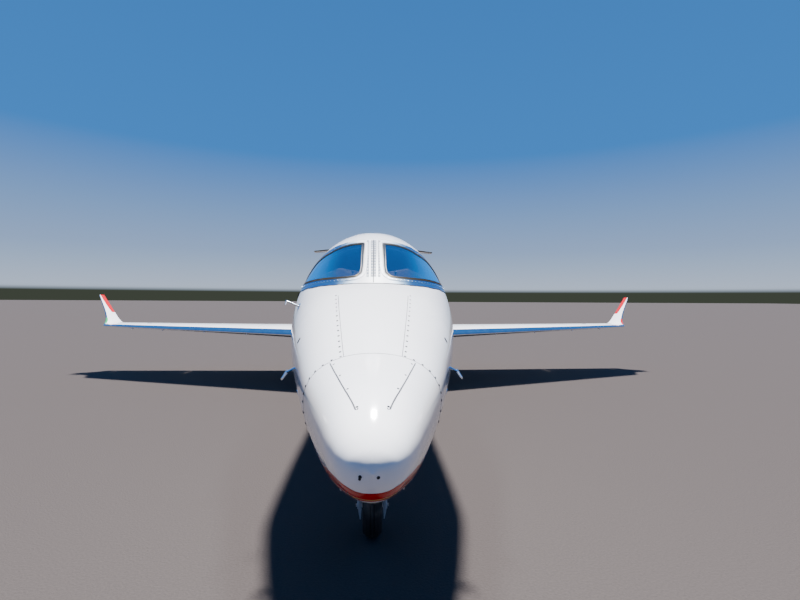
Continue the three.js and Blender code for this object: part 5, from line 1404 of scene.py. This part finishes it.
def seatKit(half, deep, cushion, back):
    # the parts of a seat that faces the nose, about its own middle line: half its width, its depth, and the
    # heights of cushion and back
    inner = half - 0.07

    def block(wide, near, away, low, high, radius, less=0.009):
        return roundedBox([wide[0] + less, near + less, low + less], [wide[1] - less, away - less, high - less],
                          radius, 5)

    def middle(margin):
        return margin - half, half - margin
    sides = [(-half, -inner), (inner, half)]
    seat = [block(middle(0), 0, deep - 0.085, cushion - 0.13, cushion - 0.01, 0.045),
            block(middle(0), 0, 0.09, cushion - 0.125, cushion, 0.04)]
    seat += [block(w, 0.03, deep - 0.09, cushion - 0.11, cushion + 0.008, 0.03) for w in sides]
    rest = [block(middle(0.015), deep - 0.075, deep + 0.016, cushion - 0.06, back, 0.04)]
    rest += [block(w, deep - 0.095, deep + 0.012, cushion - 0.03, back - 0.05, 0.03)
             for w in ((0.015 - half, -inner), (inner, half - 0.015))]
    head = block(middle(0.11), deep - 0.075, deep + 0.02, back + 0.01, back + 0.17, 0.035, 0.006)
    kit = {"Cushions": quilted(stuffed(together(seat)), 2, 1, [(0, -0.05), (0, 0.05), (1, 0.1)]),
           "Backs": quilted(stuffed(together(rest)), 1, -1, [(0, -0.05), (0, 0.05), (2, back - 0.13)]),
           "Headrests": stuffed(head, 0.013, 0.01)}
    kit["Piping"] = (piping(kit["Cushions"], [-half, 0, cushion - 0.022], [half, deep - 0.085, cushion - 0.022], 2)
                     + piping(kit["Backs"], [-half, deep - 0.06, cushion - 0.02], [half, deep - 0.06, back], 1))
    base = [block(middle(0.07), 0.06, deep - 0.04, floorTop, cushion - 0.12, 0.02, 0),
            block(middle(0.02), 0.03, deep - 0.02, cushion - 0.135, cushion - 0.11, 0.01, 0)]
    base += [bar([x, deep - 0.03, back - 0.03], [x, deep - 0.03, back + 0.05], 0.006, 16, 1) for x in (-0.05, 0.05)]
    base += [bar([side * (half - 0.05), deep - 0.03, cushion + 0.185],
                 [side * (half + 0.03), deep - 0.03, cushion + 0.185], 0.013, 16, 1) for side in (-1, 1)]
    base.append(block(middle(0.03), deep + 0.005, deep + 0.045, cushion - 0.08, back - 0.03, 0.016, 0))
    kit["Bases"] = together(base)
    kit["Arms"] = together(block((x - 0.024, x + 0.024), 0.07, deep - 0.01, cushion + 0.165, cushion + 0.205,
                                 0.016, 0) for x in (-half - 0.012, half + 0.012))
    return kit


# places: out, station, and 1 for a seat that faces the nose or -1 for one that faces aft
seats = {
    "crew": (seatKit(0.215, 0.46, 1.56, 2.08), [(out, 3.09, 1) for out in (-crewOut, crewOut)], []),
    "cabin": (seatKit(0.23, 0.5, 1.58, 2.14),
              [(out, station, facing) for out in (-cabinOut, cabinOut)
               for station, facing in ((5.01, -1), (5.99, 1), (7.11, -1), (8.09, 1))],
              boxes([[(x - 0.03, 4.48, floorTop), (x + 0.03, 8.62, floorTop + 0.024), 0.004]
                     for x in (-cabinOut, cabinOut)])),
}
for name, (kit, places, rails) in seats.items():
    for part, finish in (("Bases", [trimPlastic, chrome]), ("Cushions", leather), ("Backs", leather),
                         ("Headrests", leather), ("Arms", leather), ("Piping", darkTrim)):
        whole = together(kit[part].changed(kit[part].points * [facing, facing, 1] + at(out, station, 0))
                         for out, station, facing in places)
        if part == "Bases":
            piece(f"{name}SeatBases", together([whole, *rails]), finish, replaces=f"{name}_seats",
                  slot="seat_leather")
            continue
        soft = piece(f"{name}Seat{part}", whole, finish)
print("inside done")

# Lines, fasteners and stripes of the body
screw, rivet = (0.0085, 0.0036), (0.0022, 0.0005, 5)  # radius, height and sides
nose = {"ring": 1.2, "ringScrews": np.arange(35.2, 180, 9.1), "seam": [(1.205, 24.4), (2.28, 25.3)],
        "seamStuds": 27.0, "strip": [(0.31, 20.9), (0.58, 28.9), (0.85, 33.6), (1.17, 37.2)], "width": 0.006}


def along(rows, count):
    # stations and degrees at even steps between rows
    rows = np.asarray(rows, float)
    stations = np.linspace(rows[0, 0], rows[-1, 0], count)
    return np.interp(stations, rows[:, 0], rows[:, 1]), stations


def hoop(station, width, lift=0.0005):
    # a thin line right round the body
    turn = np.linspace(0, 360, 160, endpoint=False)
    return torus(np.stack([hull(turn, station + side * width / 2, depth)
                           for side, depth in ((-1, -lift), (1, -lift), (1, 0.002), (-1, 0.002))], 1))


stripStations = np.linspace(0.31, 1.17, 60)
stripDegrees = steadyCurve(*np.array(nose["strip"]).T)(stripStations)
noseLines = together([ribbon(stripDegrees, stripStations, nose["width"] * 1.3),
                      ribbon([20.9, 18.4, 17.5], [0.31, 0.304, 0.318], nose["width"]),
                      ribbon(*along(nose["seam"], 60), nose["width"] * 0.7)]).both()
piece("noseLines", noseLines + hoop(nose["ring"], nose["width"]), panelLine)
noseScrews = together([skinStuds(nose["ringScrews"], nose["ring"] + 0.018, *screw),
                       skinStuds(nose["seamStuds"], np.arange(1.22, 2.0, 0.088), *screw),
                       skinStuds([18.5, 26.0, 30.75, 34.0], [0.33, 0.58, 0.85, 1.12], 0.0065, 0.003)]).both()
piece("noseScrews", noseScrews, darkStud)
piece("paleScrews", skinStuds(nose["seamStuds"], np.arange(2.012, 2.3, 0.07), 0.0075, 0.0034).both(), washerGrey)
drains = [(-104.0, 0.012, 0.0075), (-112.0, 0.0135, 0.006), (120.0, 0.006, 0.007)]
piece("noseDrains", together(skinStuds([d], s, radius, 0.0005) for d, s, radius in drains), darkStud)
piece("sideVents", ribbon(*along([(1.995, 64.2), (2.005, 69.6)], 12), 0.02, 0.0022).both(), darkStud)

frameStations, lapDegrees = (4.6, 6.05, 7.55, 9.05, 10.0, 11.1, 12.6, 14.2, 15.55), (38, 141)
thin = (0.0025, 0.0004)  # width and height of a line
lapStations = np.linspace(frameStations[0], frameStations[-1], 200)
laps = together(ribbon(degrees, lapStations, *thin) for degrees in lapDegrees)
piece("bodyLines", together(hoop(station, *thin) for station in frameStations) + laps.both(), panelLine)
rivetTurn = np.linspace(2, 358, 120)
hoopRivets = together(skinStuds(rivetTurn, station + side * 0.014, *rivet)
                      for station in frameStations for side in (-1, 1))
lapRivets = together(skinStuds(degrees + 1, np.arange(4.65, 15.5, 0.05), *rivet) for degrees in lapDegrees)
piece("bodyRivets", hoopRivets + lapRivets.both(), bareMetal)

line = [(0.0018, 0.0006), (-0.0018, 0.0006), (-0.0018, -0.002), (0.0018, -0.002)]
exitLine = bead(sideOutline(3.72, 4.42, 1.6, 2.49, 0.12), line).mirrored()
hatches = bead(sideOutline(11.6, 12.3, 1.42, 1.8, 0.06, 240), line)
piece("exitLines", exitLine + hatches, panelLine)


def plate(start, end, low, high, corner, count):
    return plug(sideOutline(start, end, low, high, corner, count), -0.0012, 0.004, 6)


def windowRim(station):
    return bead(windowOutline(station), dome(0.005, 0.0018, 0.004))


plates = [plate(s - 0.05, s + 0.05, 1.442, 1.478, 0.012, 60) for s in (11.72, 12.18)]
exitPlate = plate(3.99, 4.15, 1.66, 1.71, 0.02, 80).mirrored()
ports = np.array([2.75, 2.83])
portSpots = skinStuds(degreesAt(ports, 1.5), ports, 0.017, 0.0006, 24).both()
piece("bodyFittings", together([*plates, exitPlate, portSpots]), bareMetal)
piece("doorPlate", plate(3.97, 4.15, 1.60, 1.655, 0.02, 80), bareMetal, "lower_door")
piece("windowSeals", together(map(windowRim, windows["stations"])).both() + windowRim(windows["exit"]).mirrored(),
      sealBlack)
piece("doorWindowSeal", windowRim(doorMiddle), sealBlack, "upper_door")

stripe = {
    "top": [(0, 1.15), (0.03, 1.153), (0.066, 1.163), (0.122, 1.166), (0.212, 1.158), (0.328, 1.14), (0.45, 1.1),
            (0.6, 1.06), (0.8, 1.04), (1.2, 1.02), (1.9, 1.0), (2.8, 1.0), (3.7, 1.035), (4.4, 1.1), (5.2, 1.25),
            (6.2, 1.49), (7.2, 1.57), (9, 1.6), (11, 1.68), (13, 1.9), (14.6, 2.19), (15.7, 2.39)],
    "width": [(0, 0.043), (0.06, 0.055), (0.2, 0.072), (0.33, 0.08), (0.6, 0.065), (1.2, 0.055), (3.7, 0.065),
              (5.2, 0.085), (9, 0.11), (13, 0.1), (15.7, 0.03)],
    "gold": (0.74, 0.84), "tip": np.linspace(180, 138, 30),
    "side": np.concatenate([np.linspace(0.3, 2, 80), np.linspace(2, 15.7, 290)[1:]]),
}


def stripeBand(shares, lift):
    # a band of paint right round the nose tip and back along both sides, between two shares of its width:
    # by angle at the tip, where halving finds the station of each height, and by station behind it
    def height(share, station):
        top, width = (steadyCurve(*np.array(stripe[k]).T)(station) for k in ("top", "width"))
        return top - width * share

    grid = []
    for share in np.linspace(*shares, 9):
        low, high = np.full((2, len(stripe["tip"])), [[1e-4], [0.5]])
        for _ in range(40):
            half = (low + high) / 2
            above = hull(stripe["tip"], half)[:, 2] > height(share, half)
            low, high = np.where(above, half, low), np.where(above, high, half)
        between = low[-1] + (stripe["side"][0] - low[-1]) * np.linspace(0, 1, 25)[1:-1]
        behind = np.concatenate([between, stripe["side"]])
        grid.append((np.concatenate([stripe["tip"], degreesAt(behind, height(share, behind))]),
                     np.concatenate([low, behind])))
    layers = [hull(d, s) + hullNormal(d, s) * lift for d, s in grid] + [hull(d, s, 0.003) for d, s in grid[::-1]]
    half = np.stack(layers, 1)
    return loft(np.concatenate([half[:0:-1] * [-1, 1, 1], half]))


piece("redStripe", stripeBand((0, 1), 0.0012), redPaint)
piece("goldStripe", stripeBand(stripe["gold"], 0.0018), goldPaint)
print("lines and stripes done")

# Behind the windshield: knobs on the glareshield and the edge of the side glazing
knobs = together(lathe([[0, 0], [0.006, 0], [0.005, 0.05], [0.013, 0.052], [0.014, 0.064], [0.006, 0.07], [0, 0.07]],
                       at(x, 2.62, 2.09), (0, 0, 1), 20) for x in (-0.2, 0.215))
piece("glareKnobs", knobs, gearPaint)
way = np.linspace(0, 1, 30)
piece("sidePost", tube(hull(35.25 + 9.25 * way, 3.15 - 0.43 * way, 0.035), 0.007, 10), gearPaint)

# Camera of the photograph, studio light and floor
view = {"ahead": 1.65, "height": 1.9, "lens": 19.8, "yaw": 3.47, "pitch": -0.286, "roll": 0.3,
        "sensor": 36, "sight": 400}
yaw, pitch, roll = (math.radians(view[k]) for k in ("yaw", "pitch", "roll"))
level = np.array([math.sin(yaw), math.cos(yaw), 0])
ahead = level * math.cos(pitch) + np.array([0, 0, math.sin(pitch)])
up0 = np.array([0, 0, math.cos(pitch)]) - level * math.sin(pitch)
right0 = np.array([math.cos(yaw), -math.sin(yaw), 0])
right = right0 * math.cos(roll) + up0 * math.sin(roll)
up = up0 * math.cos(roll) - right0 * math.sin(roll)
cameraData = bpy.data.cameras.new("camera")
cameraData.lens, cameraData.sensor_width, cameraData.sensor_fit = view["lens"], view["sensor"], "HORIZONTAL"
cameraData.clip_end = view["sight"]
camera = added("camera", cameraData)
camera.matrix_world = Matrix((
    (right[0], up[0], -ahead[0], 0), (right[1], up[1], -ahead[1], noseTip - view["ahead"]),
    (right[2], up[2], -ahead[2], view["height"]), (0, 0, 0, 1)))
bpy.context.scene.camera = camera


def softbox(name, place, aim, size, power, colour=(1, 1, 1), kind="AREA"):
    # a rectangle of light, or a far one without falloff whose size is an angle
    data = bpy.data.lights.new(name, kind)
    data.energy, data.color = power, colour
    if kind == "AREA":
        data.shape, data.size, data.size_y = "RECTANGLE", *size
    else:
        data.angle = size[0]
    lamp = added(name, data)
    back = unit(np.subtract(place, aim))
    side = unit(np.cross([0, 0.01, 1.0], back))
    axes = np.eye(4)
    axes[:3, :3] = np.stack([side, np.cross(back, side), back], 1)
    lamp.matrix_world = Matrix.Translation(place) @ Matrix(axes.tolist())
    return lamp


sun = softbox("sunLight", (1.9, 20.9, 55.9), (0, -8.4, 1.4), (0.078,), 26.0, (1.0, 0.975, 0.94), "SUN")
shine = softbox("noseShine", (0.08, -5.95, 3.9), (0, -8.46, 1.39), (0.24, 0.24), 330)
shine.visible_diffuse = shine.visible_camera = sun.visible_glossy = False
world = bpy.data.worlds.new("studio")
bpy.context.scene.world = world
world.use_nodes = True
skyNodes, skyLinks = world.node_tree.nodes, world.node_tree.links
skyPlace, skySplit = skyNodes.new("ShaderNodeTexCoord"), skyNodes.new("ShaderNodeSeparateXYZ")
skyRamp = skyNodes.new("ShaderNodeValToRGB")
skyLinks.new(skyPlace.outputs["Generated"], skySplit.inputs[0])
skyLinks.new(skySplit.outputs[2], skyRamp.inputs[0])
skyLinks.new(skyRamp.outputs[0], skyNodes["Background"].inputs[0])
skyStops = [(0.0, (0.05, 0.06, 0.045)), (0.012, (0.05, 0.06, 0.045)), (0.02, (0.50, 0.60, 0.76)),
            (0.10, (0.30, 0.44, 0.70)), (0.3, (0.05, 0.23, 0.66)), (0.6, (0.045, 0.20, 0.58)),
            (0.9, (0.07, 0.22, 0.54))]
for n, (place, colour) in enumerate(skyStops):
    stop = skyRamp.color_ramp.elements[n] if n < 2 else skyRamp.color_ramp.elements.new(place)
    stop.position, stop.color = place, shade(colour)
skyDim = skyNodes.new("ShaderNodeMapRange")
for socket, value in zip(skyDim.inputs[1:5], (-0.7, 0.25, 0.55, 1.05)):
    socket.default_value = value
skyLinks.new(skySplit.outputs[1], skyDim.inputs[0])
skyLinks.new(skyDim.outputs[0], skyNodes["Background"].inputs[1])

ground = Finish("studioFloor", Roughness=0.9)
speckle = ground.noise(60.0, 6.0)
ground.set(Base_Color=ground.mixed(speckle, (0.034, 0.029, 0.028), (0.058, 0.05, 0.048)),
           Normal=ground.bump(speckle, 0.004))
reach = 200
floorMesh = meshOf("floor", Shape([[-reach, -reach, 0], [reach, -reach, 0], [reach, reach, 0], [-reach, reach, 0]],
                                  [[[0, 1, 2, 3]]]))
floorMesh.materials.append(ground.material)
floor = added("floor", floorMesh)
floor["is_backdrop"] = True


def corners(box):
    return [[round(float(v), 5) for v in corner] for corner in box]


{"cad": corners(cadBox), "visual": corners(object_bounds())}
